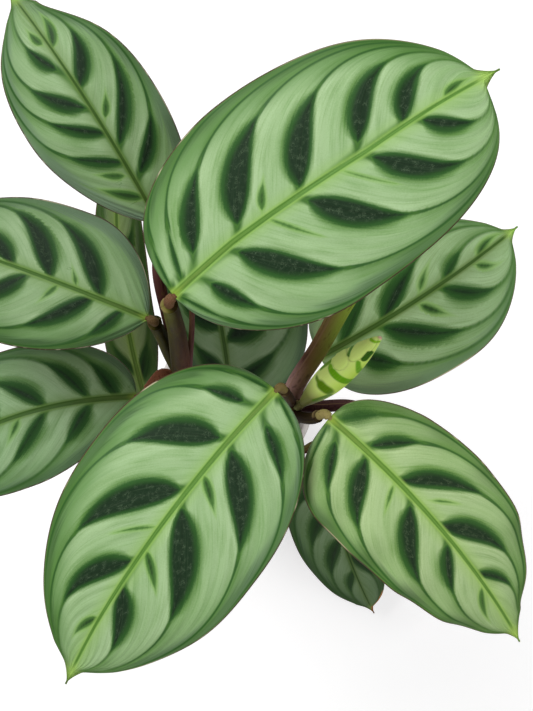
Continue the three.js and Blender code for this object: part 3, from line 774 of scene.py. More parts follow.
def leafMaterial(name, midrib, shade=1.0, yellow=0.0, blur=1.0, strength=1.0):
    # the shade scales every colour of the blade and the midrib's shade the rib colours: partly own tone,
    # partly painted light and shade
    def tint(key):
        red, green, blue = linear(*leafLook[key])[:3]
        whole = shade * (midrib[0] if key.startswith("rib") else 1)
        return (red * whole * (1 + yellow), green * whole, blue * whole * (1 - yellow), 1.0)

    material, tree, shader = newMaterial(
        name, 0.5, Sheen_Weight=0.02, Sheen_Roughness=0.4, Specular_IOR_Level=0.15,
    )
    veinPlace = attribute(tree, "veinPlace", 1)
    streaks = placeGroup(tree, streakGroup, {"Place": veinPlace, "Across": 1.3, "Along": 0.05})
    hairs = placeGroup(tree, hairGroup, {"Place": veinPlace, "Size": 0.9, "Amount": 0.6})["Hairs"]
    grain = placeGroup(tree, grainGroup, {"Place": objectPlace(tree), "Size": 0.45})
    streak = streaks["Streaks"]
    bands = streaks["Bands"]
    u = attribute(tree, "bladeU")
    edge = attribute(tree, "edgeGap")
    ribGap = attribute(tree, "ribGap")
    rib = ribGap.math("ABSOLUTE")
    offset = attribute(tree, "mark offset").math("ABSOLUTE")
    past = attribute(tree, "mark past")
    before = attribute(tree, "mark before")
    inside = attribute(tree, "mark reach") - offset
    soft = attribute(tree, "mark soft") * blur
    uneven = (streak - 0.5) * 2 + (grain["Grain"] - 0.5) * 1.2

    # the ground: palest tipward of a stripe, deeper basally of the next one and at the midrib
    ground = blend(tree, attribute(tree, "mark pale") * 0.8, tint("ground"), tint("groundPale"))
    deep = attribute(tree, "mark deep") * 0.6 + streak.fade(0.45, 0.75) * 0.4 + bands.fade(0.45, 0.7) * 0.3
    deep = deep + grain["Patches"].fade(0.45, 0.75) * 0.15 + (grain["Grain"] - 0.5) * 0.5
    ground = blend(tree, deep.clamped(), ground, tint("groundDeep"))
    ground = blend(tree, (rib + (streak - 0.5) * 2).fade(5.5, 1.4) * 0.35, ground, tint("ribFlank"))
    bandTone, outerTone, sheenTone = attribute(tree, "sideTonesAndSheen", 1).parts()
    outer = (edge + (bands - 0.5) * 7).fade(12.5, 4.0) * outerTone
    ground = blend(tree, (outer * 0.5).clamped(), ground, tint("outer"))
    margin = (edge + (streak - 0.5) * 3 + (bands - 0.5) * 4).fade(5.2, 1.8) * bandTone
    ground = blend(tree, margin.clamped() * 0.95, ground, tint("band"))
    # painted sheen: a bluish reflection painted into the margin's colour, as strong as each side asks
    sheen = (edge + (bands - 0.5) * 5).fade(6.0, 2.5) * (streak.fade(0.3, 0.7) * 0.6 + 0.35) * sheenTone
    ground = blend(tree, sheen.clamped(), ground, tint("paintedSheen"))

    # what runs on from a stripe: a thin dark line with a soft green flank on its basal side
    flank = attribute(tree, "mark flank") * (streak.fade(0.2, 0.65) * 0.4 + 0.6)
    ground = blend(tree, flank * 0.9, ground, tint("glow"))
    tail = offset - past.fade(9.0, -1.0) * (1 - u) * 0.6
    line = (tail + (streak - 0.5) * 0.4).fade(0.6 * blur, 0.05) * past.fade(-4.0, 0.0) * edge.fade(0.4, 1.2)
    ground = blend(tree, line * u.fade(0.98, 0.75) * (0.95 * strength / blur), ground, tint("fringe"))

    # where a stripe leaves the midrib: a wedge within a soft glow
    neck = offset.fade(2.4, 0.4) * before.fade(-4.0, 0.6) * rib.fade(8.0, 3.0)
    ground = blend(tree, neck * 0.8, ground, tint("glow"))
    neck = (offset + before * 0.4 - 1.5).fade(0.7, -0.7) * before.fade(-3.0, 0.2)
    ground = blend(tree, neck * 0.75, ground, tint("fringe"))

    # thin stripes between the main ones, with a lime rim
    thins = []
    for letter in "AB":
        away = attribute(tree, f"mark thin{letter}Offset").math("ABSOLUTE")
        thins.append(attribute(tree, f"mark thin{letter}Reach") - away)
    thin = thins[0].math("MAXIMUM", thins[1])
    ground = blend(tree, (thin + (streak - 0.5) * 0.5).fade(-1.1 * blur, 0.1) * 0.55, ground, tint("lime"))
    ground = blend(tree, (thin + uneven * 0.2).fade(-0.3 * blur, 0.6 * blur) * 0.9, ground, tint("thin"))
    ground = blend(tree, thin.fade(0.6, 1.6) * 0.7, ground, tint("core"))

    # the stripes: a soft glow, a green fringe and a dark core with a vein and silky hairs in it; the pale
    # haze over the core is a painted sheen, and the hairs are pale partly with painted sheen
    ground = blend(tree, (inside / soft + uneven * 0.4).fade(-2.2, -0.2) * 0.6, ground, tint("glow"))
    depth = inside / soft + uneven * 0.6
    stripe = blend(tree, (depth + (bands - 0.5) * 1.5).fade(0.2, 3.0), tint("fringe"), tint("core"))
    inCore = depth.fade(1.2, 3.0)
    vein = (offset + uneven * 0.12).fade(0.4, 0.1) * inCore * (0.5 / blur)
    stripe = blend(tree, vein, stripe, tint("vein"))
    # painted sheen: a pale haze over the core, then hairs that are pale partly with their painted glint
    stripe = blend(tree, streak.fade(0.5, 0.8) * inCore * 0.15, stripe, tint("hairSheen"))
    stripe = blend(tree, hairs * inCore * (0.4 / blur), stripe, tint("hairSheen"))
    colour = blend(tree, depth.fade(-0.7, 0.7) * strength, ground, stripe)

    # midrib, base, tip and margin line
    ribLines = noise(tree, pointAt(tree, ribGap * 3, u * 12, 0.0), 1.0) - 0.5
    beyondRib = rib + ribLines * 0.5 + (u * 0.6 - 0.95) * midrib[1]
    colour = blend(tree, beyondRib.fade(1.3, 0.1) * 0.75, colour, tint("ribFlank"))
    ribTone = blend(tree, u.fade(0.35, 0.0) * 0.7, tint("rib"), tint("ribBase"))
    colour = blend(tree, beyondRib.fade(0.3, -0.3) * 0.9, colour, ribTone)
    ribEdge = (beyondRib + 0.2).math("ABSOLUTE").fade(0.4, 0.05) * (ribLines + 0.15).fade(-0.1, 0.2)
    lines = ribEdge + (ribLines + 0.1).fade(0.12, 0.3) * beyondRib.fade(0.2, -0.3) * 0.6
    colour = blend(tree, lines.clamped() * 0.75, colour, tint("ribLine"))
    colour = blend(tree, (u + rib * 0.012).fade(0.05, 0.0) * 0.7, colour, tint("base"))
    tipTone = (u + (streak - 0.5) * 0.03 - rib * 0.004).fade(0.91, 0.965)
    colour = blend(tree, tipTone * 0.9, colour, tint("tip"))
    rim = blend(tree, bands.fade(0.52, 0.68), tint("rim"), tint("rimPale"))
    colour = blend(tree, edge.fade(0.6, 0.2) * 0.85 * u.fade(0.98, 0.93), colour, rim)
    dryness = (attribute(tree, "dryness") + (streak - 0.5) * 0.6).fade(0.3, 0.7)
    colour = blend(tree, dryness, colour, linear(*leafLook["dry"]))
    under = blend(tree, (rib + ribLines).fade(1.6, 0.6), tint("under"), tint("underRib"))
    under = blend(tree, streak.fade(0.3, 0.7) * 0.35, under, tint("underRib"))
    colour = blend(tree, attribute(tree, "underSide").fade(0.3, 0.7), colour, under)

    rough = inside.fade(-0.5, 1.0) * 0.14 + 0.42 + (grain["Grain"] - 0.5) * 0.12
    relief = streak * 0.5 + grain["Grain"] * 0.35 + bands * 0.8 + hairs * inside.fade(0.5, 2.0) * 0.6
    finishSkin(tree, shader, colour, rough, relief, 0.4, 0.3)
    return material


def buildBlades():
    tree = bladeTree()
    for name, blade in blades.items():
        finish = leafMaterial(name + " skin", blade.get("midrib", (1.0, 1.0)), *blade.get("look", ()))
        values = {
            "Base": blade["base"], "Tip": blade["tip"], "Bow": float(blade["bow"]),
            "Arch": float(blade["arch"]), "Rows": blade["rows"], "Columns": blade["columns"],
            "Finish": finish,
        }
        for side in ("left", "right"):
            for part, value in zip(("Width", "Widest", "Root", "Shoulder"), blade[side]):
                values[f"{side.capitalize()} {part}"] = float(value)
        for part, value in zip(("Height", "Count", "Start"), blade["waves"]):
            values[f"Wave {part}"] = float(value)
        piece = grow(name + "_blade", tree, values)
        dressBlade(piece, blade)
        handOver(piece, name)
    print("blades grown and marked:", len(blades))


buildBlades()


# Stalks. Each follows smooth points, and the ones that end at a blade get a pulvinus there. The
# radii are those of the sheath and the pulvinus, the foot is the radius where the sheath starts,
# and the seam turns the sheath's edge. Colours are left and right of the stalk as seen from
# above, evenly spaced from its foot to its top; they are partly the stalk's own and partly painted
# light and shade, one side paler and olive where the light falls and the other darker. A cane
# leans from its foot on, because an upright start would turn the tube's outline over further up.
# olive tops the dark stalks' left side: partly their own colour, partly a painted highlight
olive = (104, 104, 44)
maroon = (58, 24, 24)
darkStalk = {"left": (maroon, olive), "right": (maroon, maroon), "pulvinus": (110, 80, 60), "seam": 1.6}
shoots = {
    "stem_left": {
        "cane": [(-8, -0.4, 42), (-8.45, -0.22, 63.5), (-9, 0, 90), (-13, 1.5, 150), (-16.5, 8, 200)],
        "caneRadius": 3.8,
        "stalks": [
            {
                "blade": "leaf_top",
                "points": [(-16, 8, 196), (-16.8, 19, 215), (-16, 30, 250), (-16, 35.6, 272)],
                "foot": 4.4, "radii": (2.85, 1.7), "pulvinus": (112, 80, 58), "seam": 2.2,
                "left": ((58, 46, 18), (66, 58, 20), (74, 68, 28), (112, 114, 46)),
                "right": ((112, 70, 58), (92, 62, 48), (52, 36, 18), (40, 32, 10)),
            },
            {
                "blade": "leaf_left",
                "points": [(-16, 8, 180), (-21.4, 20.4, 201), (-23.2, 28, 222), (-24.3, 32.2, 238)],
                "radii": (2.7, 1.6), "pulvinus": (98, 78, 50), "seam": 0.9,
                "left": ((56, 44, 18), (74, 74, 26), (86, 86, 30), (60, 58, 20)),
                "right": ((70, 64, 20), (30, 22, 4), (28, 26, 4), (34, 32, 8)),
            },
            {
                "blade": "leaf_upper_left",
                "points": [(-16, 8, 186), (-19, 24, 212), (-21.7, 37.5, 223), (-24.3, 52, 228)],
                "radii": (2.35, 1.8), "pulvinus": (118, 76, 74), "seam": 1.6,
                "left": (maroon, (70, 34, 32), (140, 96, 92)), "right": (maroon, (38, 14, 12), (60, 30, 26)),
            },
            {
                "blade": "leaf_under_base", "points": [(-16, 8, 194), (-13.5, 20, 218), (-11.8, 32.5, 232)],
                "foot": 1.6, "radii": (1.0, 0.9), "pulvinus": (110, 84, 64), "seam": 1.2,
                "left": ((84, 58, 42), (78, 60, 42)), "right": ((120, 80, 84), (90, 64, 52)),
            },
            {
                "blade": "leaf_lower_left", "points": [(-14, 3, 165), (-19, 10, 181), (-26, 14.5, 190)],
                "radii": (2.2, 1.7), "pulvinus": (150, 92, 64), "seam": 1.6,
                "left": ((146, 92, 66), (200, 136, 102)), "right": ((110, 66, 48), (160, 104, 78)),
            },
            {
                "blade": "leaf_under_left", "points": [(-10.5, 0, 110), (-24, -7, 130), (-33, -9, 136)],
                "radii": (2.2, 1.7), **darkStalk,
            },
        ],
    },
    "stem_right": {
        "cane": [
            (7.3, -2.35, 42), (8.05, -2.2, 63.5), (9, -2, 90), (14, -1, 150), (21, 2, 205), (24, 3.8, 236),
        ],
        "caneRadius": 3.9,
        "stalks": [
            {
                "blade": "leaf_front_left", "points": [(24, 3.8, 232), (23.4, 6, 247), (21.6, 8.8, 257)],
                "radii": (1.9, 1.5), "pulvinus": (122, 108, 66), "seam": 1.2,
                "left": ((60, 40, 28), (74, 62, 34)), "right": ((52, 32, 26), (48, 34, 26)),
            },
            {
                "blade": "leaf_front_right", "points": [(24, 2, 228), (27, -0.2, 241), (31.2, -0.3, 250)],
                "radii": (2.2, 1.6), "pulvinus": (158, 146, 90), "seam": 1.9,
                "left": ((44, 32, 18), (54, 44, 26)), "right": ((40, 28, 16), (60, 50, 32)),
            },
            {
                "blade": "leaf_under_top",
                "points": [(23, 3, 228), (25.2, 11, 237), (33.3, 24.2, 245), (40.3, 37, 249)],
                "radii": (3.7, 1.9), "pulvinus": (120, 120, 60), "seam": 4.2,
                "left": (
                    (196, 160, 152), (182, 146, 138), (96, 64, 52),
                    (136, 112, 68), (140, 134, 76), (140, 144, 82),
                ),
                "right": (
                    (150, 116, 104), (124, 92, 78), (126, 108, 60),
                    (124, 138, 54), (138, 162, 60), (140, 164, 66),
                ),
            },
            {
                "blade": "leaf_right", "points": [(18, 1, 180), (24, 7, 197), (29, 13.5, 206)],
                "radii": (2.1, 1.6), **darkStalk,
            },
            {
                "blade": "leaf_under_right", "points": [(23, 3, 222), (34, 3, 225), (46, 3, 220)],
                "radii": (2.45, 1.7), "pulvinus": (130, 92, 88), "seam": 4.4,
                "left": ((30, 10, 12), (130, 92, 92)), "right": ((22, 6, 8), (96, 58, 60)),
            },
            {
                "blade": "leaf_under_middle", "points": [(9.5, -2, 100), (4, -8, 128)],
                "radii": (2.0, 1.6), **darkStalk,
            },
            {
                "blade": "leaf_low_front",
                "points": [(9, -2, 78), (18, -14, 90), (30, -24, 80), (39, -22, 66)],
                "radii": (2.0, 1.6), **darkStalk,
            },
            {
                "blade": "rolled_leaf", "points": [(24, 3.8, 226), (25.6, 3.4, 236)],
                "radii": (2.2, 1.5), "pulvinus": (134, 142, 84), "seam": 1.6,
                "left": ((92, 62, 54), (128, 122, 70)), "right": ((60, 34, 28), (96, 92, 44)),
            },
        ],
    },
}

stalkForm = {
    "sides": 32, "spacing": 1.6, "lip": 0.14, "nodeSpacing": 21.0, "nodeHeight": 0.45, "nodeWidth": 0.9,
    "caneTwist": 0.02,  # in radians for each mm
    "closeRun": 8.0, "closeSpacing": 0.22,  # the last stretch, where the rings lie closer
    "pulvinusLength": 5.0, "swell": 1.12, "rimSwell": 0.07, "squareEnd": 1.9,
    "intoBlade": 0.8, "belowBlade": 0.6,  # where the end lies inside the blade's root
    "endRun": 1.1, "endNarrowing": 0.35,
    "caneDry": (132, 108, 78), "caneGreen": (96, 88, 50), "dryLip": (150, 130, 92),
}

# The new leaf, rolled on itself. A patch runs between two places, given along the roll as a share
# and across it in mm, and has a radius, a softness and a colour.
rolledLeaf = {
    "base": (27.8, 4.8, 243), "tip": (53, 27.5, 268), "radius": 5.6, "widest": 0.42, "root": 0.1,
    "point": 0.96, "blunt": 0.8, "lip": 0.17, "seam": 1.6, "twist": 1.2, "rings": 140, "sides": 90,
    # the light colours are brighter than the leaf's own: painted light that makes up for the shadow leaf_top
    # casts on the roll
    "light": (216, 240, 132), "lightRight": (198, 232, 90), "rightFade": 4,
    "foot": (138, 146, 76), "footEnd": 0.28, "footFade": 0.14,
    "pinkTip": (226, 180, 160), "pinkFrom": 0.985, "pinkFade": 0.012, "rimShade": 0.35,
    "patches": [
        (0.336, 3.7, 0.351, -1.0, 0.8, 0.9, (98, 142, 8)),
        (0.345, 0.8, 0.352, -2.0, 1.9, 1.2, (92, 136, 6)),
        # this dark green patch along the lower edge is painted shade
        (0.155, -1.6, 0.314, -3.7, 0.7, 0.6, (100, 148, 36)),
        (0.511, 3.4, 0.507, 2.4, 1.1, 0.5, (112, 174, 6)),
        (0.514, 1.4, 0.529, -4.4, 1.4, 0.5, (104, 166, 6)),
        (0.393, 5.2, 0.52, 4.9, 0.4, 0.3, (104, 160, 24)),
        (0.718, 2.7, 0.75, 4.0, 0.75, 0.4, (90, 150, 50)),
        (0.737, -1.4, 0.652, -4.3, 0.75, 0.4, (110, 170, 36)),
        (0.79, -1.8, 0.86, -1.4, 1.0, 0.35, (46, 96, 8)),
        (0.937, 1.4, 0.975, -0.8, 0.4, 0.4, (130, 190, 24)),
    ],
    "hiddenUpTo": 0.6,  # patches that start nearer the foot than this run on under the lobes
    # the two lobes that lie over the rest: centre along and across, half length, half width, height
    "lobes": [(0.627, 3.0, 3.4, 2.9, 0.5), (0.85, 1.3, 6.4, 2.6, 0.55)],
}


# smooth path through the points, its corners eased by the root of each step
def smoothPath(points, closeEnd=False):
    form = stalkForm
    points = np.array(points, float)
    points = np.vstack([2 * points[0] - points[1], points, 2 * points[-1] - points[-2]])
    pieces = []
    for p0, p1, p2, p3 in zip(points, points[1:], points[2:], points[3:]):
        t1 = np.linalg.norm(p1 - p0) ** 0.5
        t2 = t1 + np.linalg.norm(p2 - p1) ** 0.5
        t3 = t2 + np.linalg.norm(p3 - p2) ** 0.5
        t = np.linspace(t1, t2, 40)[:, None]
        a1 = (t1 - t) / t1 * p0 + t / t1 * p1
        a2 = (t2 - t) / (t2 - t1) * p1 + (t - t1) / (t2 - t1) * p2
        a3 = (t3 - t) / (t3 - t2) * p2 + (t - t2) / (t3 - t2) * p3
        b1 = (t2 - t) / t2 * a1 + t / t2 * a2
        b2 = (t3 - t) / (t3 - t1) * a2 + (t - t1) / (t3 - t1) * a3
        pieces.append((t2 - t) / (t2 - t1) * b1 + (t - t1) / (t2 - t1) * b2)
    whole = np.vstack(pieces)
    runs = np.concatenate([[0], np.cumsum(np.linalg.norm(np.diff(whole, axis=0), axis=1))])
    at = np.arange(0, runs[-1], form["spacing"])
    if closeEnd:
        close = runs[-1] - np.arange(form["closeRun"], 0, -form["closeSpacing"])
        at = np.concatenate([at[at < runs[-1] - form["closeRun"]], close])
    at = np.append(at, runs[-1])
    placed = np.stack([np.interp(at, runs, whole[:, axis]) for axis in range(3)], 1)
    return placed, at, runs[-1]


# tubes along paths: the outline is a scroll, so that its outer edge shows as a step
def stalkTree():
    tree, given, finish = newGroup(
        "wrapped stalk", "GeometryNodeTree",
        {"Path": "Geometry", "Sides": 32, "Lip": 0.12, "Finish": "Material"}, {"Stalk": "Geometry"},
    )
    path = output(tree, "GeometryNodeMeshToCurve", {0: given["Path"]})
    path = output(tree, "GeometryNodeSetCurveNormal", {0: path}, mode="Z_UP")
    path = output(tree, "GeometryNodeSetCurveTilt", {"Curve": path, "Tilt": named(tree, "stalkTilt")})
    outline = output(tree, "GeometryNodeCurvePrimitiveCircle", {"Resolution": given["Sides"], "Radius": 1.0})
    outline = stored(tree, outline, "stalkAround", output(tree, "GeometryNodeSplineParameter"))
    place = output(tree, "GeometryNodeInputPosition")
    shrink = 1 - named(tree, "stalkAround") * given["Lip"]
    outline = output(tree, "GeometryNodeSetPosition", {0: outline, "Position": place * shrink})
    tube = output(tree, "GeometryNodeCurveToMesh", {
        "Curve": path, "Profile Curve": outline, "Scale": named(tree, "stalkRadius"), "Fill Caps": True,
    })
    tube = output(tree, "GeometryNodeRealizeInstances", {0: tube})
    return finish(Stalk=output(tree, "GeometryNodeSetMaterial", {0: tube, "Material": given["Finish"]}))


# what a path has at each point besides its place, and what the tube needs no longer once tinted
pathLabels = ("stalkRadius", "stalkTilt", "stalkAt", "stalkTurn", "stalkLeft")
spareLabels = (*pathLabels, "axisPlace", "axisRun")


# the polylines that the tree takes, with what it needs on their points
def pathMesh(name, paths):
    mesh = bpy.data.meshes.new(name)
    edges = []
    count = 0
    for path in paths:
        edges += [(count + step, count + step + 1) for step in range(len(path["points"]) - 1)]
        count += len(path["points"])
    mesh.from_pydata(np.vstack([path["points"] for path in paths]) * mm, edges, [])
    for label in pathLabels:
        writeAttribute(mesh, label, np.concatenate([path[label] for path in paths]))
    writeAttribute(mesh, "axisPlace", np.vstack([path["points"] for path in paths]) * mm)
    writeAttribute(mesh, "axisRun", np.vstack([np.gradient(path["points"], axis=0) for path in paths]))
    return mesh


# where a stalk reaches its blade, and the way it points there
def seatOf(name):
    if name == "rolled_leaf":
        base = np.array(rolledLeaf["base"], float)
        along = np.subtract(rolledLeaf["tip"], base)
        return base, along / np.linalg.norm(along)
    blade = blades[name]
    base = np.array(blade["base"], float)
    reach = np.subtract(blade["tip"], base)
    across = np.array([-reach[1], reach[0], 0]) / np.hypot(reach[0], reach[1])
    along = reach * 0.5 + across * 2 * blade["bow"] + np.array([0, 0, 2 * blade["arch"]])
    return base, along / np.linalg.norm(along)


# the cane and then its stalks, each with the radius at every point
def stalkPaths(shoot):
    form = stalkForm
    points, at, length = smoothPath(shoot["cane"])
    ring = np.abs((at / form["nodeSpacing"]) % 1 - 0.5) * form["nodeSpacing"]
    radius = shoot["caneRadius"] + form["nodeHeight"] * np.exp(-(ring / form["nodeWidth"]) ** 2)
    paths = [{
        "points": points, "stalkRadius": radius * mm, "stalkTilt": at * form["caneTwist"],
        "stalkAt": at / length, "stalkTurn": np.zeros(len(at)), "stalkLeft": np.full(len(at), 99.0),
    }]
    for turn, stalk in enumerate(shoot["stalks"]):
        base, along = seatOf(stalk["blade"])
        end = base + along * form["intoBlade"] - np.array([0, 0, form["belowBlade"]])
        before = base - along * form["squareEnd"]
        points, at, length = smoothPath([*stalk["points"], before, end], closeEnd=True)
        sheath, pulvinus = stalk["radii"]
        left = length - form["endRun"] - at
        inPulvinus = np.clip(left / form["pulvinusLength"], 0, 1)
        knuckle = pulvinus * (1 + (form["swell"] - 1) * np.sin(inPulvinus * math.pi))
        knuckle *= 1 - form["endNarrowing"] * (left < 0)
        foot = stalk.get("foot", sheath)
        rim = foot + (sheath - foot) * np.clip(at / (length - form["pulvinusLength"]), 0, 1)
        rim *= 1 + form["rimSwell"] * np.exp(-((left - form["pulvinusLength"] - 0.8) / 0.5) ** 2)
        share = np.clip((left - form["pulvinusLength"]) / 0.5, 0, 1)
        radius = knuckle + (rim - knuckle) * share * share * (3 - 2 * share)
        paths.append({
            "points": points, "stalkRadius": radius * mm, "stalkTilt": np.full(len(at), stalk["seam"]),
            "stalkAt": at / length, "stalkTurn": np.full(len(at), turn + 1.0), "stalkLeft": left,
        })
    return paths


# colours the stalks by how far along and on which side a point lies
def tintStalks(piece, shoot):
    form = stalkForm
    mesh = piece.data
    points = readPoints(mesh)
    axis = readAttribute(mesh, "axisPlace", 3)
    run = readAttribute(mesh, "axisRun", 3)
    turn = np.round(readAttribute(mesh, "stalkTurn")).astype(int)
    at = readAttribute(mesh, "stalkAt")
    around = readAttribute(mesh, "stalkAround")
    rest = readAttribute(mesh, "stalkLeft")
    spoke = points - axis
    spoke /= np.maximum(np.linalg.norm(spoke, axis=1), 1e-9)[:, None]
    left = np.stack([-run[:, 1], run[:, 0], np.zeros(len(run))], 1)
    left /= np.maximum(np.linalg.norm(left, axis=1), 1e-9)[:, None]
    side = ((spoke * left).sum(1) * 0.5 + 0.5)[:, None]
    tint = np.tile(toneOf(form["caneDry"]), (len(points), 1))
    tint += (toneOf(form["caneGreen"]) - tint) * np.clip(at * 1.4, 0, 1)[:, None]
    mark = np.zeros(len(points))
    for index, stalk in enumerate(shoot["stalks"]):
        here = turn == index + 1
        sides = []
        for key in ("left", "right"):
            tones = np.array([toneOf(colour) for colour in stalk[key]])
            stops = np.linspace(0, 1, len(tones))
            sides.append(np.stack([np.interp(at[here], stops, channel) for channel in tones.T], 1))
        # the two sides mix here: painted light on one, painted shade on the other, with the stalk's own
        # colours
        mixed = np.clip(side[here] * 1.8 - 0.4, 0, 1)
        colour = sides[1] + (sides[0] - sides[1]) * mixed
        gap = (rest[here] - form["pulvinusLength"])[:, None]
        lip = 0.7 * np.exp(-((gap - 0.6) / 0.35) ** 2) * np.clip(side[here] * 3 - 1.6, 0, 1)
        colour += (toneOf(form["dryLip"]) - colour) * lip
        knuckle = np.clip(-gap / 0.3, 0, 1)
        tint[here] = colour + (toneOf(stalk["pulvinus"]) - colour) * knuckle
        mark[here] = knuckle[:, 0]
    writeAttribute(mesh, "tint", tint)
    writeAttribute(mesh, "knuckle", mark)
    run /= np.maximum(np.linalg.norm(run, axis=1), 1e-9)[:, None]
    writeAttribute(mesh, "stalkPlace", np.stack([around * 10, (axis * run).sum(1) / mm, turn * 3.7], 1))
    dropAttributes(mesh, spareLabels)
    mesh.shade_smooth()


def stalkMaterial():
    material, tree, shader = newMaterial("stalk skin", 0.5, Specular_IOR_Level=0.02)
    place = attribute(tree, "stalkPlace", 1)
    streak = placeGroup(tree, streakGroup, {"Place": place, "Across": 1.6, "Along": 0.12})["Streaks"]
    grain = placeGroup(tree, grainGroup, {"Place": objectPlace(tree), "Size": 0.35})
    tint = output(tree, "ShaderNodeAttribute", slot=0, attribute_name="tint")
    around = attribute(tree, "stalkAround")
    knuckle = attribute(tree, "knuckle")
    colour = blend(tree, streak.fade(0.5, 0.75) * 0.3, tint, linear(104, 96, 40))
    colour = blend(tree, streak.fade(0.5, 0.25) * 0.55, colour, linear(30, 12, 10))
    colour = blend(tree, grain["Patches"].fade(0.5, 0.8) * 0.15, colour, linear(110, 60, 40))
    colour = blend(tree, around.fade(0.03, 0.0) * (1 - knuckle) * 0.6, colour, linear(150, 120, 88))
    colour = blend(tree, knuckle * grain["Grain"].fade(0.5, 0.7) * 0.25, colour, linear(160, 130, 104))
    relief = streak * 0.8 + grain["Grain"] * 0.4
    finishSkin(tree, shader, colour, streak * 0.25 + 0.35, relief, 0.4, 0.3)
    return material


def buildShoots(tree):
    finish = stalkMaterial()
    for node, shoot in shoots.items():
        values = {"Sides": stalkForm["sides"], "Lip": stalkForm["lip"], "Finish": finish}
        piece = grow(node + "_skin", tree, values, pathMesh(node, stalkPaths(shoot)))
        tintStalks(piece, shoot)
        handOver(piece, node)
    print("shoots grown:", len(shoots))


# raises the rolled leaf's two lobes and colours it
def tintRoll(piece, leaf, along, length):
    mesh = piece.data
    points = readPoints(mesh)
    axis = readAttribute(mesh, "axisPlace", 3)
    at = readAttribute(mesh, "stalkAt").astype(float)
    left = np.array([-along[1], along[0], 0]) / np.hypot(along[0], along[1])
    upward = np.cross(along, left)
    spoke = (points - axis) / mm
    across = spoke @ left
    onTop = np.clip(spoke @ upward / 0.8 + 0.5, 0, 1)
    flat = np.stack([at * length, across], 1)

    # the lobes stand a little over the rest and hide the patches under them
    lift = np.zeros(len(at))
    lobeEdgeShade = np.zeros(len(at))
    for centre, middle, halfLength, halfWidth, height in leaf["lobes"]:
        away = np.hypot((flat[:, 0] - centre * length) / halfLength, (across - middle) / halfWidth)
        lift = np.maximum(lift, height * np.clip((1 - away) * 6, 0, 1))
        lobeEdgeShade = np.maximum(lobeEdgeShade, np.clip(1 - np.abs(away - 1.0) * 12, 0, 1))
    outward = spoke / np.maximum(np.linalg.norm(spoke, axis=1), 1e-9)[:, None]
    writePoints(mesh, points + outward * (lift * onTop * mm)[:, None])

    # the roll's light colours hold painted light against leaf_top's shadow
    tint = np.tile(toneOf(leaf["light"]), (len(at), 1))
    onRight = np.clip(-across / leaf["rightFade"], 0, 1)[:, None]
    tint += (toneOf(leaf["lightRight"]) - tint) * onRight
    atFoot = np.clip((leaf["footEnd"] - at) / leaf["footFade"], 0, 1)[:, None]
    tint += (toneOf(leaf["foot"]) - tint) * atFoot
    for a0, c0, a1, c1, radius, softness, colour in leaf["patches"]:
        first = np.array([a0 * length, c0])
        line = np.array([a1 * length, c1]) - first
        share = np.clip(((flat - first) @ line) / (line @ line), 0, 1)
        away = np.linalg.norm(flat - first - share[:, None] * line, axis=1)
        amount = np.clip((radius - away) / softness + 0.5, 0, 1)
        if a0 < leaf["hiddenUpTo"]:
            amount = amount * (1 - np.clip(lift * 4, 0, 1))
        tint += (toneOf(colour) - tint) * (amount * amount * (3 - 2 * amount))[:, None]
    # painted shade along the lobes' edges, where they stand over the rest
    tint *= (1 - leaf["rimShade"] * lobeEdgeShade * onTop)[:, None]
    pink = np.clip((at - leaf["pinkFrom"]) / leaf["pinkFade"], 0, 1)[:, None]
    tint += (toneOf(leaf["pinkTip"]) - tint) * pink
    writeAttribute(mesh, "tint", tint)
    writeAttribute(mesh, "stalkPlace", np.stack([across * 2, at * length, np.zeros(len(at))], 1))
    dropAttributes(mesh, spareLabels)
    mesh.shade_smooth()


def rollMaterial():
    material, tree, shader = newMaterial("rolled leaf", 0.45, Specular_IOR_Level=0.12, Subsurface_Weight=0.1)
    shader.inputs["Subsurface Radius"].default_value = (0.5, 1.0, 0.2)
    shader.inputs["Subsurface Scale"].default_value = 1.5 * mm
    place = attribute(tree, "stalkPlace", 1)
    streak = placeGroup(tree, streakGroup, {"Place": place, "Across": 1.3, "Along": 0.15})["Streaks"]
    grain = placeGroup(tree, grainGroup, {"Place": objectPlace(tree), "Size": 0.4})
    tint = output(tree, "ShaderNodeAttribute", slot=0, attribute_name="tint")
    around = attribute(tree, "stalkAround")
    colour = blend(tree, streak.fade(0.45, 0.75) * 0.15, tint, linear(176, 204, 96))
    colour = blend(tree, around.fade(0.02, 0.0) * 0.7, colour, linear(84, 112, 30))
    relief = streak + grain["Grain"] * 0.4
    finishSkin(tree, shader, colour, streak * 0.2 + 0.3, relief, 0.3, 0.25)
    return material


def buildRoll(tree):
    leaf = rolledLeaf
    base = np.array(leaf["base"], float)
    along = np.subtract(leaf["tip"], base)
    length = float(np.linalg.norm(along))
    along /= length
    u = np.linspace(0, 1, leaf["rings"])
    rise = np.sin(math.pi / 2 * (u + leaf["root"]) / (leaf["widest"] + leaf["root"]))
    fall = np.cos(math.pi / 2 * leaf["point"] * (u - leaf["widest"]) / (1 - leaf["widest"]))
    radius = leaf["radius"] * np.where(u < leaf["widest"], rise, np.maximum(fall, 0) ** leaf["blunt"])
    path = {
        "points": base + along * (u * length)[:, None], "stalkRadius": radius * mm, "stalkAt": u,
        "stalkTilt": leaf["twist"] * u + leaf["seam"], "stalkTurn": np.zeros(len(u)),
        "stalkLeft": np.zeros(len(u)),
    }
    values = {"Sides": leaf["sides"], "Lip": leaf["lip"], "Finish": rollMaterial()}
    piece = grow("rolled_leaf_skin", tree, values, pathMesh("rolled_leaf", [path]))
    tintRoll(piece, leaf, along, length)
    handOver(piece, "rolled_leaf")
    print("rolled leaf made")


wrapped = stalkTree()
buildShoots(wrapped)
buildRoll(wrapped)


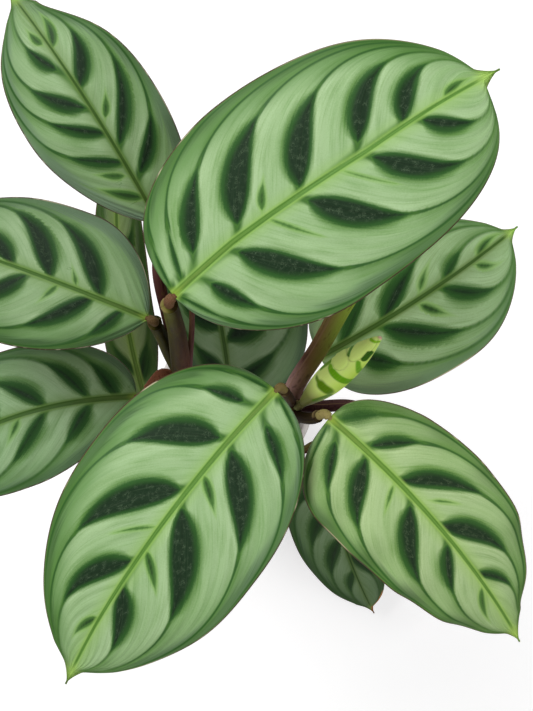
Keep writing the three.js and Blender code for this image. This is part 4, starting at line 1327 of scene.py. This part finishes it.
# the pot is turned from its outline, radii and heights, with its rim and foot rounded
potForm = {
    "height": 70, "rim": 38, "foot": 28, "wall": 3, "floor": 5, "rimRound": 1.4, "footRound": 1.8,
    "cavityRound": 4.0, "hollowFoot": 0.6, "hollowInset": 6, "aboveFoot": 6, "belowRim": 4, "sides": 160,
    "soilTop": 61, "soilDome": 2.5, "soilGap": 0.3,
}


def outerRadius(z):
    return potForm["foot"] + (potForm["rim"] - potForm["foot"]) * z / potForm["height"]


def innerRadius(z):
    return outerRadius(z) - potForm["wall"]


def roundedCorner(centre, radius, start, end, steps=8):
    turns = np.radians(np.linspace(start, end, steps))
    return [(centre[0] + radius * math.cos(turn), centre[1] + radius * math.sin(turn)) for turn in turns]


def latheMesh(name, outline, sides):
    rings = [point for point in outline if point[0] > 1e-6]
    turns = np.linspace(0, 2 * math.pi, sides, endpoint=False)
    points = [(r * math.cos(turn), r * math.sin(turn), z) for r, z in rings for turn in turns]
    low = len(points)
    points += [(0, 0, outline[0][1]), (0, 0, outline[-1][1])]
    faces = []
    for ring in range(len(rings) - 1):
        for side in range(sides):
            a = ring * sides + side
            b = ring * sides + (side + 1) % sides
            faces.append((a, b, b + sides, a + sides))
    last = (len(rings) - 1) * sides
    for side in range(sides):
        nextSide = (side + 1) % sides
        faces.append((low, nextSide, side))
        faces.append((low + 1, last + side, last + nextSide))
    mesh = bpy.data.meshes.new(name)
    mesh.from_pydata(np.array(points) * mm, [], faces)
    mesh.shade_smooth()
    piece = bpy.data.objects.new(name, mesh)
    scene.collection.objects.link(piece)
    return piece


def buildPot():
    form = potForm
    rim, foot, height = form["rim"], form["foot"], form["height"]
    edge, heel, hollow = form["rimRound"], form["footRound"], form["cavityRound"]
    inner = innerRadius(form["floor"])
    straightTop = height - form["belowRim"]
    hollowEdge = foot - form["hollowInset"]
    outline = [(0, form["hollowFoot"]), (hollowEdge, form["hollowFoot"]), (hollowEdge + 1, 0)]
    outline += roundedCorner((foot - heel, heel), heel, -90, -8)
    outline += [(outerRadius(z), z) for z in np.linspace(form["aboveFoot"], straightTop, 14)]
    outline += roundedCorner((rim - edge, height - edge), edge, -8, 90)
    outline += roundedCorner((rim - form["wall"] + edge, height - edge), edge, 90, 188)
    outline += [(innerRadius(z), z) for z in np.linspace(straightTop, form["floor"] + hollow, 8)]
    outline += roundedCorner((inner - hollow, form["floor"] + hollow), hollow, 0, -90)
    outline += [(0, form["floor"])]
    piece = latheMesh("pot_glazed", outline, form["sides"])
    material, tree, shader = newMaterial("satin glaze", 0.35, Specular_IOR_Level=0.5, Coat_Weight=0.25)
    shader.inputs["Coat Roughness"].default_value = 0.2
    place = objectPlace(tree)
    grain = placeGroup(tree, grainGroup, {"Place": place, "Size": 1.1})
    rings = {"Vector": place, "Scale": 60.0, "Distortion": 1.5, "Detail": 2.0}
    throwing = output(tree, "ShaderNodeTexWave", rings, slot=1, wave_type="BANDS", bands_direction="Z")
    colour = blend(tree, grain["Patches"].fade(0.3, 0.8) * 0.5, linear(236, 234, 229), linear(226, 222, 214))
    specks = noise(tree, place, 900.0, 1.0).fade(0.74, 0.8)
    colour = blend(tree, specks * 0.5, colour, linear(176, 164, 148))
    relief = throwing * 0.5 + grain["Grain"] * 0.3
    finishSkin(tree, shader, colour, grain["Grain"] * 0.15 + 0.28, relief, 0.25, 0.3)
    piece.data.materials.append(material)
    handOver(piece, "pot")
    print("pot turned")


# Each kind of bit has its number on a square metre, its size in mm, its shape and its finish.
soilForm = {
    "rings": 70, "sides": 140, "lumps": 1.6, "bits": 1.3, "seed": 7,
    "footInset": 4.2, "footRise": 5, "edgeDrop": 0.8, "domeEdge": 0.985,
    "kinds": {
        "crumbs": (60000.0, 0.75, (1.0, 1.0, 0.8), "Finish"),
        "chips": (14000.0, 1.7, (1.0, 0.55, 0.35), "Finish"),
        "grains": (9000.0, 0.9, (1.0, 0.9, 0.8), "Grain Finish"),
    },
}


# the soil's body gets lumps and then crumbs, chips and pale grains scattered on its top
def soilTree():
    tree, given, finish = newGroup(
        "crumbly soil", "GeometryNodeTree",
        {
            "Body": "Geometry", "Lumps": 1.6, "Top": 60.0, "Bits": 1.0, "Seed": 1,
            "Finish": "Material", "Grain Finish": "Material",
        },
        {"Soil": "Geometry"},
    )
    place = output(tree, "GeometryNodeInputPosition")
    height = place.parts()[2]
    onTop = height.fade((given["Top"] - 1.5) * mm, (given["Top"] - 0.1) * mm)
    topOnly = onTop.math("GREATER_THAN", 0.9)
    coarse = noise(tree, place, 130.0, 3.0, 0.6) - 0.5
    fine = noise(tree, place, 520.0, 3.0, 0.7) - 0.5
    lift = (coarse * 1.6 + fine * 0.7) * onTop * given["Lumps"] * mm
    lifted = {0: given["Body"], "Offset": pointAt(tree, 0.0, 0.0, lift)}
    body = output(tree, "GeometryNodeSetPosition", lifted)
    body = output(tree, "GeometryNodeSetMaterial", {0: body, "Material": given["Finish"]})
    rough = noise(tree, place, 900.0) + 0.5
    bit = output(tree, "GeometryNodeMeshIcoSphere", {"Radius": mm, "Subdivisions": 2})
    bit = output(tree, "GeometryNodeSetPosition", {0: bit, "Position": place * rough})
    layers = [body]
    for turn, (density, size, shape, finishName) in enumerate(soilForm["kinds"].values()):
        spread = output(tree, "GeometryNodeDistributePointsOnFaces", {
            0: body, 1: topOnly, "Density": density, "Seed": given["Seed"] + turn * 3.0,
        })
        coated = output(tree, "GeometryNodeSetMaterial", {0: bit, "Material": given[finishName]})
        scale = output(tree, "FunctionNodeRandomValue", {2: 0.45, 3: 1.15, "Seed": turn}, slot=1)
        turns = {0: (0.0, 0.0, 0.0), 1: (6.3, 6.3, 6.3), "Seed": turn + 9}
        turned = output(tree, "FunctionNodeRandomValue", turns, data_type="FLOAT_VECTOR")
        sized = pointAt(tree, *[scale * (size * part) for part in shape])
        layers.append(output(tree, "GeometryNodeInstanceOnPoints", {
            0: spread, "Instance": coated, "Rotation": turned, "Scale": sized * given["Bits"],
        }))
    return finish(Soil=output(tree, "GeometryNodeRealizeInstances", {0: gathered(tree, layers)}))


def soilMaterial(name, dark, light, roughness):
    material, tree, shader = newMaterial(name, roughness, Specular_IOR_Level=0.25)
    place = objectPlace(tree)
    grain = placeGroup(tree, grainGroup, {"Place": place, "Size": 0.6})
    speck = noise(tree, place, 800.0, 4.0, 0.7)
    colour = blend(tree, speck.fade(0.35, 0.7), dark, light)
    colour = blend(tree, grain["Patches"].fade(0.5, 0.8) * 0.4, colour, dark)
    finishSkin(tree, shader, colour, speck * 0.3 + (roughness - 0.15), speck + grain["Grain"], 0.7, 0.5)
    return material


def buildSoil():
    form = soilForm
    bottom = potForm["floor"] + potForm["soilGap"]
    top = potForm["soilTop"]
    widest = innerRadius(top) - potForm["soilGap"]
    outline = [(0, bottom)]
    outline += [(share * (innerRadius(bottom) - form["footInset"]), bottom) for share in (0.5, 1)]
    for z in np.linspace(bottom + form["footRise"], top - form["edgeDrop"], 8):
        outline.append((innerRadius(z) - potForm["soilGap"], z))
    for share in np.linspace(form["domeEdge"], 0, form["rings"]):
        outline.append((widest * share, top + potForm["soilDome"] * (1 - share ** 2)))
    body = latheMesh("soil_body", outline, form["sides"])
    values = {
        "Lumps": form["lumps"], "Top": float(top), "Bits": form["bits"], "Seed": form["seed"],
        "Finish": soilMaterial("potting soil", linear(26, 18, 13), linear(74, 54, 40), 0.9),
        "Grain Finish": soilMaterial("pale grains", linear(176, 168, 154), linear(226, 222, 212), 0.8),
    }
    mesh = body.data
    bpy.data.objects.remove(body)
    piece = grow("soil_crumbs", soilTree(), values, mesh)
    handOver(piece, "soil")
    print("soil filled")


buildPot()
buildSoil()


# a plain pale floor, a soft light from the upper left and the camera straight above
stage = {
    "camera": (15, 21.5, 700), "lens": 65.8, "sensor": 36,
    "floorSize": 4000, "floorTone": 0.8, "floorGlow": 0.42, "worldLight": 0.42,
    # the lights, and what they aim at, are in metres
    "lights": {
        "key light": {"place": (-0.75, 0.9, 1.5), "size": 1.1, "power": 20},
        "fill light": {"place": (0.9, -0.5, 1.3), "size": 1.2, "power": 5},
    },
    "aim": (0, 0, 0.2),
}


def buildStage():
    bpy.ops.mesh.primitive_plane_add(size=stage["floorSize"] * mm)
    floor = bpy.context.object
    floor.name = "floor"
    material, tree, shader = newMaterial("pale floor", 0.9, Specular_IOR_Level=0.1)
    grain = noise(tree, objectPlace(tree), 30.0)
    dark, light = [(stage["floorTone"] * share,) * 3 + (1,) for share in (1, 1.02)]
    plug(tree, blend(tree, grain, dark, light), shader.inputs["Base Color"])
    shader.inputs["Emission Color"].default_value = (1, 1, 1, 1)
    # only the camera sees the floor's own glow
    plug(tree, output(tree, "ShaderNodeLightPath") * stage["floorGlow"], shader.inputs["Emission Strength"])
    floor.data.materials.append(material)
    world = bpy.data.worlds.new("studio")
    scene.world = world
    world.use_nodes = True
    sky = world.node_tree.nodes["Background"]
    sky.inputs["Color"].default_value = (1, 1, 1, 1)
    sky.inputs["Strength"].default_value = stage["worldLight"]
    for name, lamp in stage["lights"].items():
        light = bpy.data.lights.new(name, "AREA")
        light.size = lamp["size"]
        light.energy = lamp["power"]
        holder = bpy.data.objects.new(name, light)
        holder.location = lamp["place"]
        aim = Vector(stage["aim"]) - Vector(lamp["place"])
        holder.rotation_euler = aim.to_track_quat("-Z", "Y").to_euler()
        scene.collection.objects.link(holder)
    view = bpy.data.cameras.new("camera")
    view.lens = stage["lens"]
    view.sensor_width = stage["sensor"]
    view.clip_start = 0.01
    camera = bpy.data.objects.new("camera", view)
    camera.location = [value * mm for value in stage["camera"]]
    scene.collection.objects.link(camera)
    scene.camera = camera
    scene.view_settings.view_transform = "Standard"


buildStage()
print("stage, lights and camera set")
